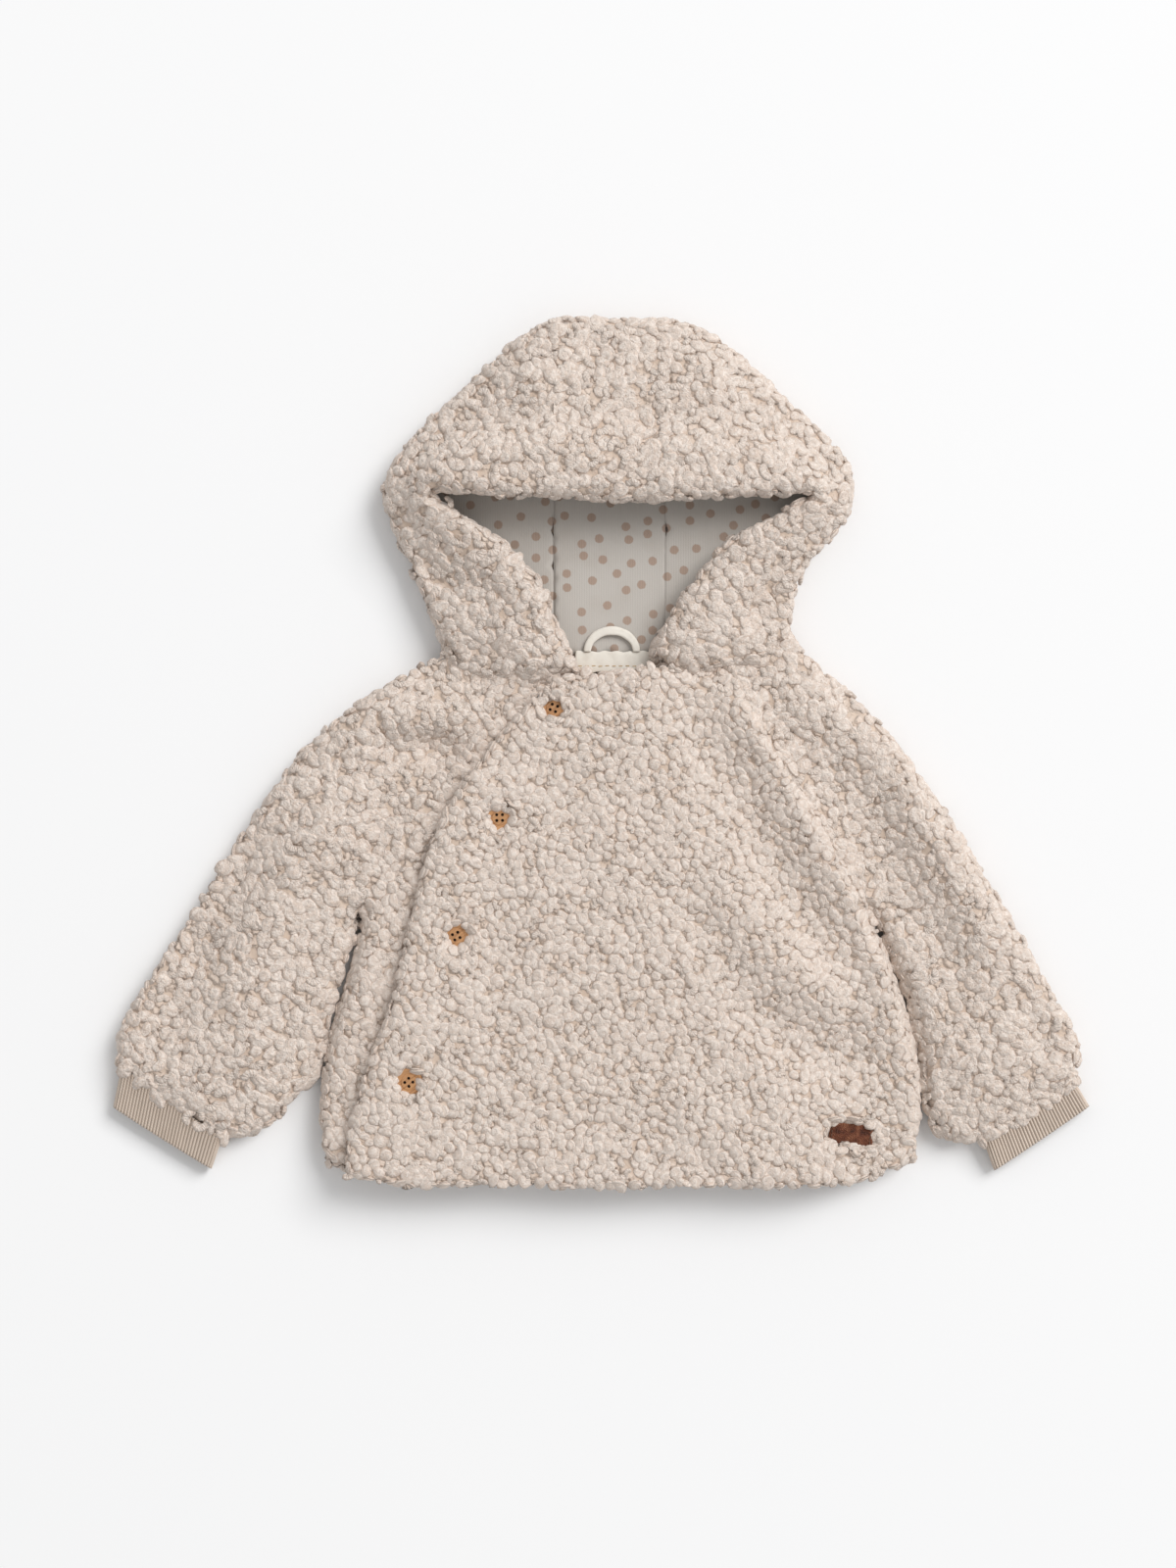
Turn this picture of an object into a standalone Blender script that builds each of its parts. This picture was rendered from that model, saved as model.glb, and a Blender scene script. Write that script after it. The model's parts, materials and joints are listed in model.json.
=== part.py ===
"""Hooded baby jacket in curly sherpa, laid flat and face up.

Axes: +X towards the wearer's left (the viewer's right), +Y towards the hood,
+Z up out of the front. The jacket rests on z = 0. Tables are in millimetres
and every mesh is made in metres. Each cut piece of cloth is a closed wall of
its own, parted from its neighbours by a hairline at the seams.
"""

import math
from typing import Callable, NamedTuple, Sequence

import bmesh
import bpy
from mathutils import Matrix, Vector

MM = 0.001

# ---------------------------------------------------------------- cloth sizes
SHERPA = 8.0          # backing and curly pile together
LINING = 1.2          # jersey of the hood lining
KNIT = 2.5            # rib knit of the cuffs
SEAM = 0.5            # hairline between two sewn pieces
LAYER = 0.6           # clearance between two cloths that lie on each other
SIDE_MID = 9.5        # height of the body's and sleeves' side folds
CROWN = 19.0          # outer height of a single front over the back
WRAP_LIFT = SHERPA + LAYER
WRAP_DROP_START = 7.0
WRAP_DROP_WIDTH = 26.0

FOLD_STEPS = 4        # facets in a quarter fold
QUARTER = math.radians(90.0)
RAGLAN_TURN = 14.0    # length of the underarm over which a side fold opens out
RAGLAN_COLUMN = 3.0   # spacing of the points beside a raglan seam
EDGE_DISTANCES = (0.0, 1.3, 4.0)    # points beside a rounded edge
EDGE_ROUNDING = 2.9   # how far each face is drawn in at a rounded edge
UNDERSIDE_ROUNDING = 0.6            # the back's hem lifts less: it rests flat

# ------------------------------------------------------------------- colours
CREAM_PILE = (0.70, 0.60, 0.51)
JERSEY = (0.86, 0.82, 0.75)
RIB_KNIT = (0.56, 0.46, 0.36)
WOOD = (0.60, 0.36, 0.17)
LEATHER = (0.16, 0.06, 0.035)
TAPE = (0.88, 0.84, 0.76)


class Point(NamedTuple):
    """A plan point, millimetres."""
    x: float
    y: float


class HoodRow(NamedTuple):
    """One section of the hood, from its outline to its opening and its back."""
    outline_x: float
    outline_y: float
    edge_x: float
    edge_y: float
    back_x: float
    back_y: float
    crest: float
    roll: float


class Fold(NamedTuple):
    """A soft ridge, or a trough where the height is negative."""
    x0: float
    y0: float
    x1: float
    y1: float
    height: float
    width: float


class EndRow(NamedTuple):
    """How a sleeve closes in towards its cuff."""
    along: float
    radius: float
    wall: float


# ------------------------------------------------- plan of the seams and edges
# Image-right side of the body: raglan seam from the neck, then the side fold.
RAGLAN_LEFT = [Point(65.0, 44.0), Point(86.0, 15.5), Point(106.5, -16.6), Point(126.3, -49.8),
               Point(142.3, -80.8)]
SIDE_LEFT = [Point(142.3, -80.8), Point(155.7, -107.5), Point(166.4, -137.0), Point(173.3, -166.4),
             Point(175.5, -198.5), Point(171.5, -217.0)]
RAGLAN_RIGHT = [Point(-56.0, 42.0), Point(-66.5, 12.8), Point(-90.4, -32.6), Point(-110.5, -62.0),
                Point(-127.9, -83.5)]
SIDE_RIGHT = [Point(-127.9, -83.5), Point(-141.2, -128.9), Point(-149.3, -155.7),
              Point(-153.5, -182.4), Point(-155.0, -206.0), Point(-151.0, -219.0)]

# The lower edge runs from the wearer's right to the left.
HEM = [Point(-151.0, -219.0), Point(-143.0, -228.5), Point(-128.0, -233.5), Point(-90.0, -236.5),
       Point(-45.0, -235.0), Point(0.0, -237.5), Point(55.0, -235.5), Point(110.0, -237.0),
       Point(146.0, -233.5), Point(163.0, -227.5), Point(171.5, -217.0)]
# The over front starts on its wrap edge, some way in from the side fold.
WRAP_EDGE = [Point(-54.6, 11.0), Point(-86.1, -31.0), Point(-96.8, -59.4), Point(-105.4, -95.2),
             Point(-114.5, -134.3), Point(-128.9, -173.3), Point(-138.5, -210.0),
             Point(-140.0, -229.0)]
OVER_HEM = [Point(-140.0, -229.0), Point(-128.0, -233.5), Point(-90.0, -236.5),
            Point(-45.0, -235.0), Point(0.0, -237.5), Point(55.0, -235.5), Point(110.0, -237.0),
            Point(146.0, -233.5), Point(163.0, -227.5), Point(171.5, -217.0)]
OVER_TOP = [Point(-54.6, 11.0), Point(-36.9, 30.5), Point(-12.8, 41.2), Point(2.0, 45.0),
            Point(16.0, 46.4), Point(29.0, 45.2), Point(40.7, 43.2), Point(52.0, 42.6),
            Point(65.0, 43.4)]
# The under front reaches on, out of sight, below the over front.
HIDDEN_EDGE = [Point(34.0, 24.0), Point(60.0, -16.0), Point(80.0, -60.0), Point(92.0, -110.0),
               Point(102.0, -170.0), Point(108.0, -233.0)]
UNDER_TOP_HIDDEN = [Point(-10.0, 45.4), Point(6.0, 38.0), Point(34.0, 24.0)]
UNDER_HEM = [Point(-151.0, -219.0), Point(-143.0, -228.5), Point(-128.0, -232.5),
             Point(-90.0, -235.0), Point(0.0, -235.0), Point(60.0, -234.0), Point(108.0, -233.0)]

# Neck seam: the shoulder stretch is shared by sleeve and hood, then it parts
# into a front stretch and a back stretch.
NECK_SHOULDER_RIGHT = [Point(-88.0, 54.0), Point(-72.0, 46.4), Point(-56.0, 42.0)]
NECK_FRONT_RIGHT = [Point(-56.0, 42.0), Point(-40.0, 40.4), Point(-25.0, 41.6), Point(-10.0, 46.0)]
NECK_BACK_RIGHT = [Point(-56.0, 42.0), Point(-42.0, 47.0), Point(-26.0, 50.8)]
NECK_SHOULDER_LEFT = [Point(106.0, 62.6), Point(84.0, 51.5), Point(65.0, 44.0)]
NECK_FRONT_LEFT = [Point(65.0, 44.0), Point(52.0, 43.2), Point(41.0, 44.4), Point(32.0, 48.0),
                   Point(24.0, 53.0)]
NECK_BACK_LEFT = [Point(65.0, 44.0), Point(52.0, 48.4), Point(35.0, 51.0)]
NECK_BACK_MIDDLE = [Point(-26.0, 50.8), Point(4.0, 52.5), Point(35.0, 51.0)]

# Sleeves: outline over the arm, inner corner by the cuff, and the cuff seam.
OVERARM_LEFT = [Point(106.0, 62.6), Point(121.0, 46.0), Point(147.0, 24.0), Point(180.0, -18.5),
                Point(208.0, -61.5), Point(233.0, -104.0), Point(256.5, -147.0),
                Point(265.0, -164.0), Point(258.0, -179.0)]
INNER_CORNER_LEFT = [Point(178.0, -203.0), Point(184.0, -211.5), Point(196.0, -214.0),
                     Point(208.0, -209.7)]
CUFF_SEAM_LEFT = [Point(208.0, -209.7), Point(233.5, -195.0), Point(258.0, -179.0)]
CUFF_END_LEFT = [Point(214.8, -228.4), Point(241.0, -211.0), Point(267.0, -193.0)]

OVERARM_RIGHT = [Point(-88.0, 54.0), Point(-106.0, 45.5), Point(-140.0, 24.1),
                 Point(-172.0, -8.0), Point(-202.0, -51.0), Point(-229.0, -93.6),
                 Point(-258.0, -137.5), Point(-267.5, -157.0), Point(-261.5, -170.5)]
INNER_CORNER_RIGHT = [Point(-157.0, -184.0), Point(-168.5, -190.5), Point(-175.5, -199.0),
                      Point(-182.0, -206.5), Point(-192.0, -210.5), Point(-206.5, -209.5)]
CUFF_SEAM_RIGHT = [Point(-206.5, -209.5), Point(-235.0, -190.0), Point(-261.5, -170.5)]
CUFF_END_RIGHT = [Point(-213.0, -227.5), Point(-240.0, -211.0), Point(-267.0, -193.5)]
SIDE_CONTACT_LEFT = -196.0     # y down to which a sleeve lies along the body
SIDE_CONTACT_RIGHT = -176.0

SLEEVE_PUFF = 2.5
SLEEVE_ROWS = 16
SLEEVE_COLUMNS = 6
NECK_FADE = 0.12               # share of the sleeve over which puff grows
CUFF_FADE_START = 0.93
CUFF_FADE = 0.6
SLEEVE_END = [EndRow(0.0, 9.5, 8.0), EndRow(0.90, 9.5, 8.0), EndRow(0.95, 9.3, 7.2),
              EndRow(0.98, 8.3, 5.8), EndRow(1.0, 6.5, 3.8)]

CUFF_RADIUS = 4.0
CUFF_END_MID = 4.0
CUFF_RIBS = 37
CUFF_RIB_HEIGHT = 0.55
CUFF_UNDER_STEPS = 10
CUFF_ROWS = ((0.0, 1.0), (0.93, 1.0), (1.0, 0.78))

# Hood: wearer's right side, from the top seam round the outline to the neck.
SEAM_RIGHT_X = -26.0
SEAM_LEFT_X = 35.0
HOOD_RIGHT = [
    HoodRow(-26.0, 238.0, -26.0, 136.0, -26.0, 221.0, 46.0, 20.0),
    HoodRow(-45.0, 228.0, -42.0, 136.5, -26.0, 208.0, 45.5, 20.0),
    HoodRow(-68.0, 206.0, -62.0, 137.5, -26.0, 190.0, 44.0, 19.0),
    HoodRow(-93.0, 184.5, -80.0, 139.0, -26.0, 171.0, 41.0, 18.0),
    HoodRow(-113.0, 163.0, -90.0, 140.5, -26.0, 153.0, 37.0, 17.0),
    HoodRow(-121.5, 143.0, -92.5, 138.0, -26.0, 137.0, 34.0, 16.0),
    HoodRow(-116.0, 123.0, -82.0, 133.0, -26.0, 120.0, 33.0, 16.0),
    HoodRow(-106.5, 103.0, -56.0, 119.5, -26.0, 102.0, 34.0, 16.0),
    HoodRow(-99.0, 84.0, -32.0, 95.0, -26.0, 84.0, 33.0, 15.5),
    HoodRow(-91.0, 67.0, -20.5, 66.0, -26.0, 66.0, 29.0, 14.0),
    HoodRow(-88.0, 54.0, -10.0, 46.0, -26.0, 50.8, 26.0, 13.0),
]
HOOD_LEFT = [
    HoodRow(35.0, 238.0, 35.0, 134.5, 35.0, 221.0, 46.0, 20.0),
    HoodRow(57.0, 233.0, 55.0, 135.5, 35.0, 211.0, 45.5, 20.0),
    HoodRow(84.0, 211.0, 76.0, 136.5, 35.0, 194.0, 44.0, 19.0),
    HoodRow(108.0, 187.5, 96.0, 138.0, 35.0, 174.0, 41.0, 18.0),
    HoodRow(130.0, 168.0, 110.0, 139.5, 35.0, 155.0, 37.0, 17.0),
    HoodRow(140.5, 145.0, 113.5, 137.0, 35.0, 138.0, 34.0, 16.0),
    HoodRow(134.0, 122.5, 103.0, 132.0, 35.0, 121.0, 33.0, 16.0),
    HoodRow(113.0, 102.0, 70.0, 118.5, 35.0, 103.0, 34.0, 16.0),
    HoodRow(107.0, 86.0, 43.0, 88.5, 35.0, 85.0, 33.0, 15.5),
    HoodRow(106.0, 73.0, 30.0, 66.0, 35.0, 67.0, 29.0, 14.0),
    HoodRow(106.0, 62.6, 24.0, 53.0, 35.0, 51.0, 26.0, 13.0),
]
HOOD_TOP_Y = 238.0
BRIM_Y = [Point(SEAM_RIGHT_X, 136.0), Point(4.0, 133.5), Point(SEAM_LEFT_X, 134.5)]
BRIM_CREST = 46.0
BRIM_ROLL = 20.0
HOOD_EDGE_RADIUS = 12.0
NECK_EDGE_RADIUS = 10.8
ROLL_WIDTH = 25.0
ROLL_TOP_SHARE = 0.25          # folds die away over the top of the rolled edge
NOSE_ANGLES = (65.0, 38.0, 12.0)
CENTRE_COLUMNS = 6
NECK_PULL_ROWS = 4.0
HOOD_PLACES = (0.0, 0.5, 1.0, 2.0, 3.0, 4.0, 4.5, 5.0, 5.5, 6.0, 7.0, 8.0, 9.0, 9.6, 10.0)

# Largest folds of the worn cloth, as soft ridges and troughs.
OVER_FOLDS = [
    Fold(76.0, 22.0, 112.0, -38.0, 3.2, 8.0),
    Fold(112.0, -38.0, 152.0, -112.0, 3.0, 8.0),
    Fold(152.0, -112.0, 164.0, -170.0, 2.4, 8.0),
    Fold(53.0, 27.0, 90.0, -45.0, -2.6, 10.0),
    Fold(74.0, -106.0, 142.0, -166.0, -2.2, 13.0),
    Fold(20.0, -200.0, 44.0, -236.0, -2.0, 9.0),
    Fold(-60.0, -205.0, -46.0, -236.0, -2.0, 9.0),
]
UNDER_FOLDS = [
    Fold(-124.0, -95.0, -143.0, -170.0, 1.6, 6.0),
]
SLEEVE_FOLDS = [
    Fold(-66.0, 8.5, -93.0, -0.5, -3.4, 7.0),
    Fold(-150.0, -70.0, -196.0, -150.0, -2.4, 12.0),
    Fold(-130.0, -20.0, -170.0, -60.0, 2.2, 14.0),
    Fold(-198.0, -186.0, -214.0, -196.0, -2.0, 6.0),
    Fold(150.0, -60.0, 196.0, -140.0, -2.4, 12.0),
    Fold(160.0, -20.0, 214.0, -110.0, 2.0, 14.0),
    Fold(216.0, -186.0, 226.0, -198.0, -2.0, 6.0),
]
HOOD_FOLDS = [
    Fold(-88.0, 172.0, 104.0, 174.0, -3.0, 6.5),
    Fold(-70.0, 157.5, 90.0, 156.0, -1.6, 4.5),
    Fold(-86.0, 97.0, -58.0, 83.0, -4.0, 8.0),
    Fold(96.0, 92.0, 82.0, 72.0, -3.6, 8.0),
    Fold(-40.0, 214.0, 10.0, 205.0, -1.8, 10.0),
]

# ------------------------------------------------------ buttons, label, loop
BUTTON_PLACES = [Point(-25.7, 24.1), Point(-55.1, -35.3), Point(-78.6, -99.5),
                 Point(-104.3, -178.7)]
BUTTON_RADIUS = 8.0
BUTTON_THICKNESS = 3.0
BUTTON_HOLE_RADIUS = 0.95
BUTTON_HOLE_OFFSET = 2.0
BUTTON_DISH = 0.7
BUTTON_TURN = math.radians(23.0)
BUTTON_STEPS = 20
CUTTER_DEPTH = 20.0
POCKET_RADIUS = 8.6
POCKET_DEPTH = 5.2
LABEL_PLACE = Point(135.9, -207.6)
LABEL_LENGTH = 24.0
LABEL_HEIGHT = 12.0
LABEL_THICKNESS = 1.2
LABEL_TURN = math.radians(-5.0)
LABEL_POCKET_DEPTH = 3.4
TAPE_Y = (50.2, 55.4)
TAPE_X = (-15.5, 27.0)
TAPE_THICKNESS = 1.0
LOOP_CENTRE_X = 5.4
LOOP_HALF_WIDTH = 11.6
LOOP_RISE = 9.6
LOOP_BAND = 4.6
LOOP_THICKNESS = 2.0
LOOP_FOOT_SHARE = 0.82          # the band is a little narrower where it is sewn
LOOP_STEPS = 14
LOOP_SIDES = 8
TRIM_BEVEL = 0.3


# ===================================================================== curves
class Curve:
    """A plan curve held as a fine polyline and measured along its length."""

    def __init__(self, points: Sequence[Vector]):
        self.points = [Vector((p[0], p[1])) for p in points]
        self.marks = [0.0]
        for a, b in zip(self.points, self.points[1:]):
            self.marks.append(self.marks[-1] + (b - a).length)

    @classmethod
    def through(cls, table: Sequence[Point], steps: int = 10) -> "Curve":
        """Smooth curve through a short table of points."""
        knots = [Vector((p.x, p.y)) for p in table]
        if len(knots) == 2:
            return cls(knots)
        ends = [2 * knots[0] - knots[1]] + knots + [2 * knots[-1] - knots[-2]]
        points = []
        for a, b, c, d in zip(ends, ends[1:], ends[2:], ends[3:]):
            points += [spline(a, b, c, d, i / steps) for i in range(steps)]
        return cls(points + [knots[-1]])

    @property
    def length(self) -> float:
        return self.marks[-1]

    def at_length(self, distance: float) -> Vector:
        """Point at a distance along the curve, clamped to its ends."""
        distance = min(max(distance, 0.0), self.length)
        low, high = 0, len(self.marks) - 1
        while high - low > 1:
            middle = (low + high) // 2
            low, high = (middle, high) if self.marks[middle] <= distance else (low, middle)
        span = self.marks[high] - self.marks[low]
        share = 0.0 if span == 0 else (distance - self.marks[low]) / span
        return self.points[low].lerp(self.points[high], share)

    def at(self, fraction: float) -> Vector:
        return self.at_length(fraction * self.length)

    def reversed(self) -> "Curve":
        return Curve(self.points[::-1])

    def joined(self, other: "Curve") -> "Curve":
        return Curve(self.points + other.points[1:])

    def down_to(self, y: float) -> "Curve":
        """The stretch of a falling curve that lies above a height in plan."""
        return Curve([p for p in self.points if p.y >= y])

    def shifted(self, distance: float) -> "Curve":
        """Curve moved sideways, to the left of its direction where positive."""
        moved = []
        for i, point in enumerate(self.points):
            before = self.points[max(i - 1, 0)]
            after = self.points[min(i + 1, len(self.points) - 1)]
            along = (after - before).normalized()
            moved.append(point + Vector((-along.y, along.x)) * distance)
        return Curve(moved)


class Patch:
    """A plan region between four curves (a Coons patch)."""

    def __init__(self, first: Curve, last: Curve, start: Curve, end: Curve):
        self.first, self.last, self.start, self.end = first, last, start, end

    def at(self, u: float, s: float) -> Vector:
        """Point at u from first to last curve and s from start to end curve."""
        ruled = self.first.at(s).lerp(self.last.at(s), u) + self.start.at(u).lerp(self.end.at(u), s)
        top = self.first.at(0).lerp(self.first.at(1), s)
        bottom = self.last.at(0).lerp(self.last.at(1), s)
        return ruled - top.lerp(bottom, u)

    def width(self, u: float) -> float:
        """Length of one row of the patch."""
        points = [self.at(u, i / 8) for i in range(9)]
        return sum((b - a).length for a, b in zip(points, points[1:]))


def spline(a, b, c, d, t: float):
    """Catmull-Rom value between b and c."""
    return 0.5 * (2 * b + (c - a) * t + (2 * a - 5 * b + 4 * c - d) * t * t
                  + (3 * b - a - 3 * c + d) * t * t * t)


def smooth(t: float) -> float:
    """Soft step from 0 to 1."""
    t = min(max(t, 0.0), 1.0)
    return t * t * (3.0 - 2.0 * t)


def fold_height(folds: Sequence[Fold], x: float, y: float) -> float:
    """Sum of the soft ridges and troughs at a plan point."""
    total = 0.0
    for fold in folds:
        start = Vector((fold.x0, fold.y0))
        along = Vector((fold.x1, fold.y1)) - start
        share = min(max((Vector((x, y)) - start).dot(along) / along.length_squared, 0.0), 1.0)
        distance = (Vector((x, y)) - start - along * share).length
        total += fold.height * math.exp(-(distance / fold.width) ** 2)
    return total


# ===================================================================== meshes
def cloth_material(name: str, colour: Sequence[float], roughness: float = 0.95) -> bpy.types.Material:
    """Plain Principled material of one sub-part."""
    material = bpy.data.materials.new(name)
    material.use_nodes = True
    shader = material.node_tree.nodes["Principled BSDF"]
    shader.inputs["Base Color"].default_value = (*colour, 1.0)
    shader.inputs["Roughness"].default_value = roughness
    shader.inputs["Metallic"].default_value = 0.0
    return material


def add_object(name: str, bm: bmesh.types.BMesh, colour: Sequence[float],
               roughness: float = 0.95) -> bpy.types.Object:
    """Turn a bmesh given in millimetres into one object of the jacket."""
    bmesh.ops.scale(bm, vec=(MM, MM, MM), verts=bm.verts)
    bmesh.ops.recalc_face_normals(bm, faces=bm.faces)
    mesh = bpy.data.meshes.new(name)
    bm.to_mesh(mesh)
    bm.free()
    mesh.shade_smooth()
    mesh.set_sharp_from_angle(angle=math.radians(50))
    mesh.materials.append(cloth_material(name, colour, roughness))
    obj = bpy.data.objects.new(name, mesh)
    JACKET.objects.link(obj)
    return obj


def wall(name: str, outer: list, inner: list, colour: Sequence[float], ring: bool = False,
         roughness: float = 0.95) -> bpy.types.Object:
    """Closed wall between two grids of points, open or closed round its rows."""
    bm = bmesh.new()
    skins = [[[bm.verts.new(p) for p in row] for row in grid] for grid in (outer, inner)]
    rows, columns = len(outer), len(outer[0])
    steps = columns if ring else columns - 1
    for skin in skins:
        for i in range(rows - 1):
            for j in range(steps):
                k = (j + 1) % columns
                bm.faces.new((skin[i][j], skin[i][k], skin[i + 1][k], skin[i + 1][j]))
    for i in (0, rows - 1):
        for j in range(steps):
            k = (j + 1) % columns
            bm.faces.new((skins[0][i][j], skins[0][i][k], skins[1][i][k], skins[1][i][j]))
    if not ring:
        for j in (0, columns - 1):
            for i in range(rows - 1):
                bm.faces.new((skins[0][i][j], skins[0][i + 1][j], skins[1][i + 1][j], skins[1][i][j]))
    return add_object(name, bm, colour, roughness)


# ================================================================ body panels
class Station(NamedTuple):
    """Where the two faces of a row lie, by distance from its edge, and how high.

    A lift of 1 is the flat of the upper cloth, 0 the side fold's middle height
    and -1 the flat of the lower cloth.
    """
    outer: float
    inner: float
    lift: float
    puff: float = 0.0
    parting: float = 0.0


def flat_stations(first: float, last: float, count: int, lift: float) -> list[Station]:
    """Evenly spread stations between two distances, puffed up in the middle."""
    shares = [k / (count + 1) for k in range(1, count + 1)]
    return [Station(first + (last - first) * t, first + (last - first) * t, lift,
                    math.sin(math.pi * t)) for t in shares]


def mirrored(stations: Sequence[Station], width: float) -> list[Station]:
    """The same stations, measured from the row's other edge."""
    return [s._replace(outer=width - s.outer, inner=width - s.inner) for s in reversed(stations)]


class SideFold:
    """Side of a body panel: a raglan seam that turns into a folded side."""

    def __init__(self, curve: Curve, raglan_length: float):
        self.curve, self.raglan_length = curve, raglan_length

    def angle(self, u: float) -> float:
        """Angle at which the cloth ends: upright at the raglan, level below it."""
        below = self.curve.length * u - self.raglan_length
        return QUARTER * (1.0 - smooth(below / RAGLAN_TURN))

    def stations(self, u: float, radius: float, cloth: float) -> list[Station]:
        """Stations from the edge over the fold to the flat."""
        start = self.angle(u)
        out = []
        for k in range(FOLD_STEPS + 1):
            angle = start + (QUARTER - start) * k / FOLD_STEPS
            distance = radius * (math.cos(start) - math.cos(angle))
            distance += RAGLAN_COLUMN * k * math.sin(start)
            out.append(Station(distance, distance + cloth * math.cos(angle), math.sin(angle)))
        return out

    def thinning(self, distance: float) -> float:
        """A seam keeps the cloth's full thickness."""
        return 0.0


class FreeEdge:
    """Cut edge turned in, so that it ends round."""

    def stations(self, u: float, radius: float, cloth: float) -> list[Station]:
        """Close stations where the edge is rounded."""
        return [Station(d, d, 1.0) for d in EDGE_DISTANCES]

    def thinning(self, distance: float) -> float:
        """How far each face is drawn in at a distance from the edge."""
        share = min(distance / (SHERPA / 2), 1.0)
        return EDGE_ROUNDING * (1.0 - math.sqrt(1.0 - (1.0 - share) ** 2))


class Panel(NamedTuple):
    """A body panel: its plan, its two side edges and how it lies."""
    patch: Patch
    start: SideFold | FreeEdge
    end: SideFold | FreeEdge
    columns: int
    rows: int
    height: Callable | None
    round_top: bool = False


def panel_stations(panel: Panel, u: float, width: float) -> list[Station]:
    """All stations of one row, from its start edge to its end edge."""
    left = panel.start.stations(u, SIDE_MID, SHERPA)
    right = mirrored(panel.end.stations(u, SIDE_MID, SHERPA), width)
    middle = flat_stations(left[-1].outer, right[0].outer, panel.columns, 1.0)
    return left + middle + right


def panel_wall(name: str, panel: Panel) -> bpy.types.Object:
    """Wall of a body panel; one with no height function is the back."""
    outer, inner = [], []
    length = panel.patch.start.length
    hem = FreeEdge()
    for u in row_marks(length, panel.rows, panel.round_top):
        width = panel.patch.width(u)
        thin = hem.thinning((1.0 - u) * length)
        if panel.round_top:
            thin = max(thin, hem.thinning(u * length))
        outer.append([])
        inner.append([])
        for place in panel_stations(panel, u, width):
            side = max(panel.start.thinning(place.outer), panel.end.thinning(width - place.outer))
            drawn = max(thin, side) * place.lift
            p = panel.patch.at(u, place.outer / width)
            q = panel.patch.at(u, place.inner / width)
            if panel.height:
                top, bottom = panel.height(p.x, p.y)
                outer_z = SIDE_MID + (top - SIDE_MID) * place.lift - drawn
                inner_z = SIDE_MID + (bottom - SIDE_MID) * place.lift + drawn
            else:
                outer_z = (SIDE_MID - SEAM) * (1.0 - place.lift) + drawn * UNDERSIDE_ROUNDING
                inner_z = (SIDE_MID - SEAM) * (1.0 - place.lift) + SHERPA * place.lift - drawn
            outer[-1].append(Vector((p.x, p.y, outer_z)))
            inner[-1].append(Vector((q.x, q.y, inner_z)))
    return wall(name, outer, inner, CREAM_PILE)


def row_marks(length: float, count: int, round_top: bool) -> list[float]:
    """Rows from top to hem, with close ones where an edge is rounded."""
    close = [d / length for d in EDGE_DISTANCES]
    first = close[-1] if round_top else 0.0
    last = 1.0 - close[-1]
    marks = [first + (last - first) * i / count for i in range(count + 1)]
    if round_top:
        marks = close[:-1] + marks
    return marks + [1.0 - d for d in reversed(close[:-1])]


def hidden_edge_x(y: float) -> float:
    """Where the under front ends, below the over front."""
    edge = UNDER_REACH.points
    nearest = min(edge, key=lambda p: abs(p.y - y))
    return nearest.x


def over_height(x: float, y: float) -> tuple[float, float]:
    """Top and underside of the over front: it drops beyond the under front."""
    drop = smooth((x - hidden_edge_x(y) - WRAP_DROP_START) / WRAP_DROP_WIDTH)
    base = CROWN + WRAP_LIFT * (1.0 - drop)
    return base + fold_height(OVER_FOLDS, x, y), base - SHERPA


def under_height(x: float, y: float) -> tuple[float, float]:
    """Top and underside of the under front."""
    return CROWN + fold_height(UNDER_FOLDS, x, y), CROWN - SHERPA


def body_pieces() -> None:
    """Back, under front and over front."""
    edge_left = Curve.through(RAGLAN_LEFT + SIDE_LEFT[1:]).shifted(-SEAM / 2)
    edge_right = Curve.through(RAGLAN_RIGHT + SIDE_RIGHT[1:]).shifted(SEAM / 2)
    fold_left = SideFold(edge_left, Curve.through(RAGLAN_LEFT).length)
    fold_right = SideFold(edge_right, Curve.through(RAGLAN_RIGHT).length)

    back_neck = (Curve.through(NECK_BACK_RIGHT).joined(Curve.through(NECK_BACK_MIDDLE))
                 .joined(Curve.through(NECK_BACK_LEFT).reversed()).shifted(-SEAM / 2))
    back = Patch(back_neck, Curve.through(HEM), edge_right, edge_left)
    panel_wall("body_back", Panel(back, fold_right, fold_left, 7, 13, None))

    under_top = (Curve.through(NECK_FRONT_RIGHT).shifted(-SEAM / 2)
                 .joined(Curve.through(UNDER_TOP_HIDDEN)))
    under = Patch(under_top, Curve.through(UNDER_HEM), edge_right, UNDER_REACH)
    panel_wall("front_right_under", Panel(under, fold_right, FreeEdge(), 8, 14, under_height))

    over = Patch(Curve.through(OVER_TOP), Curve.through(OVER_HEM), Curve.through(WRAP_EDGE),
                 edge_left)
    front = panel_wall("front_left_over",
                       Panel(over, FreeEdge(), fold_left, 12, 18, over_height, round_top=True))
    cut_pockets(front)


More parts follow.
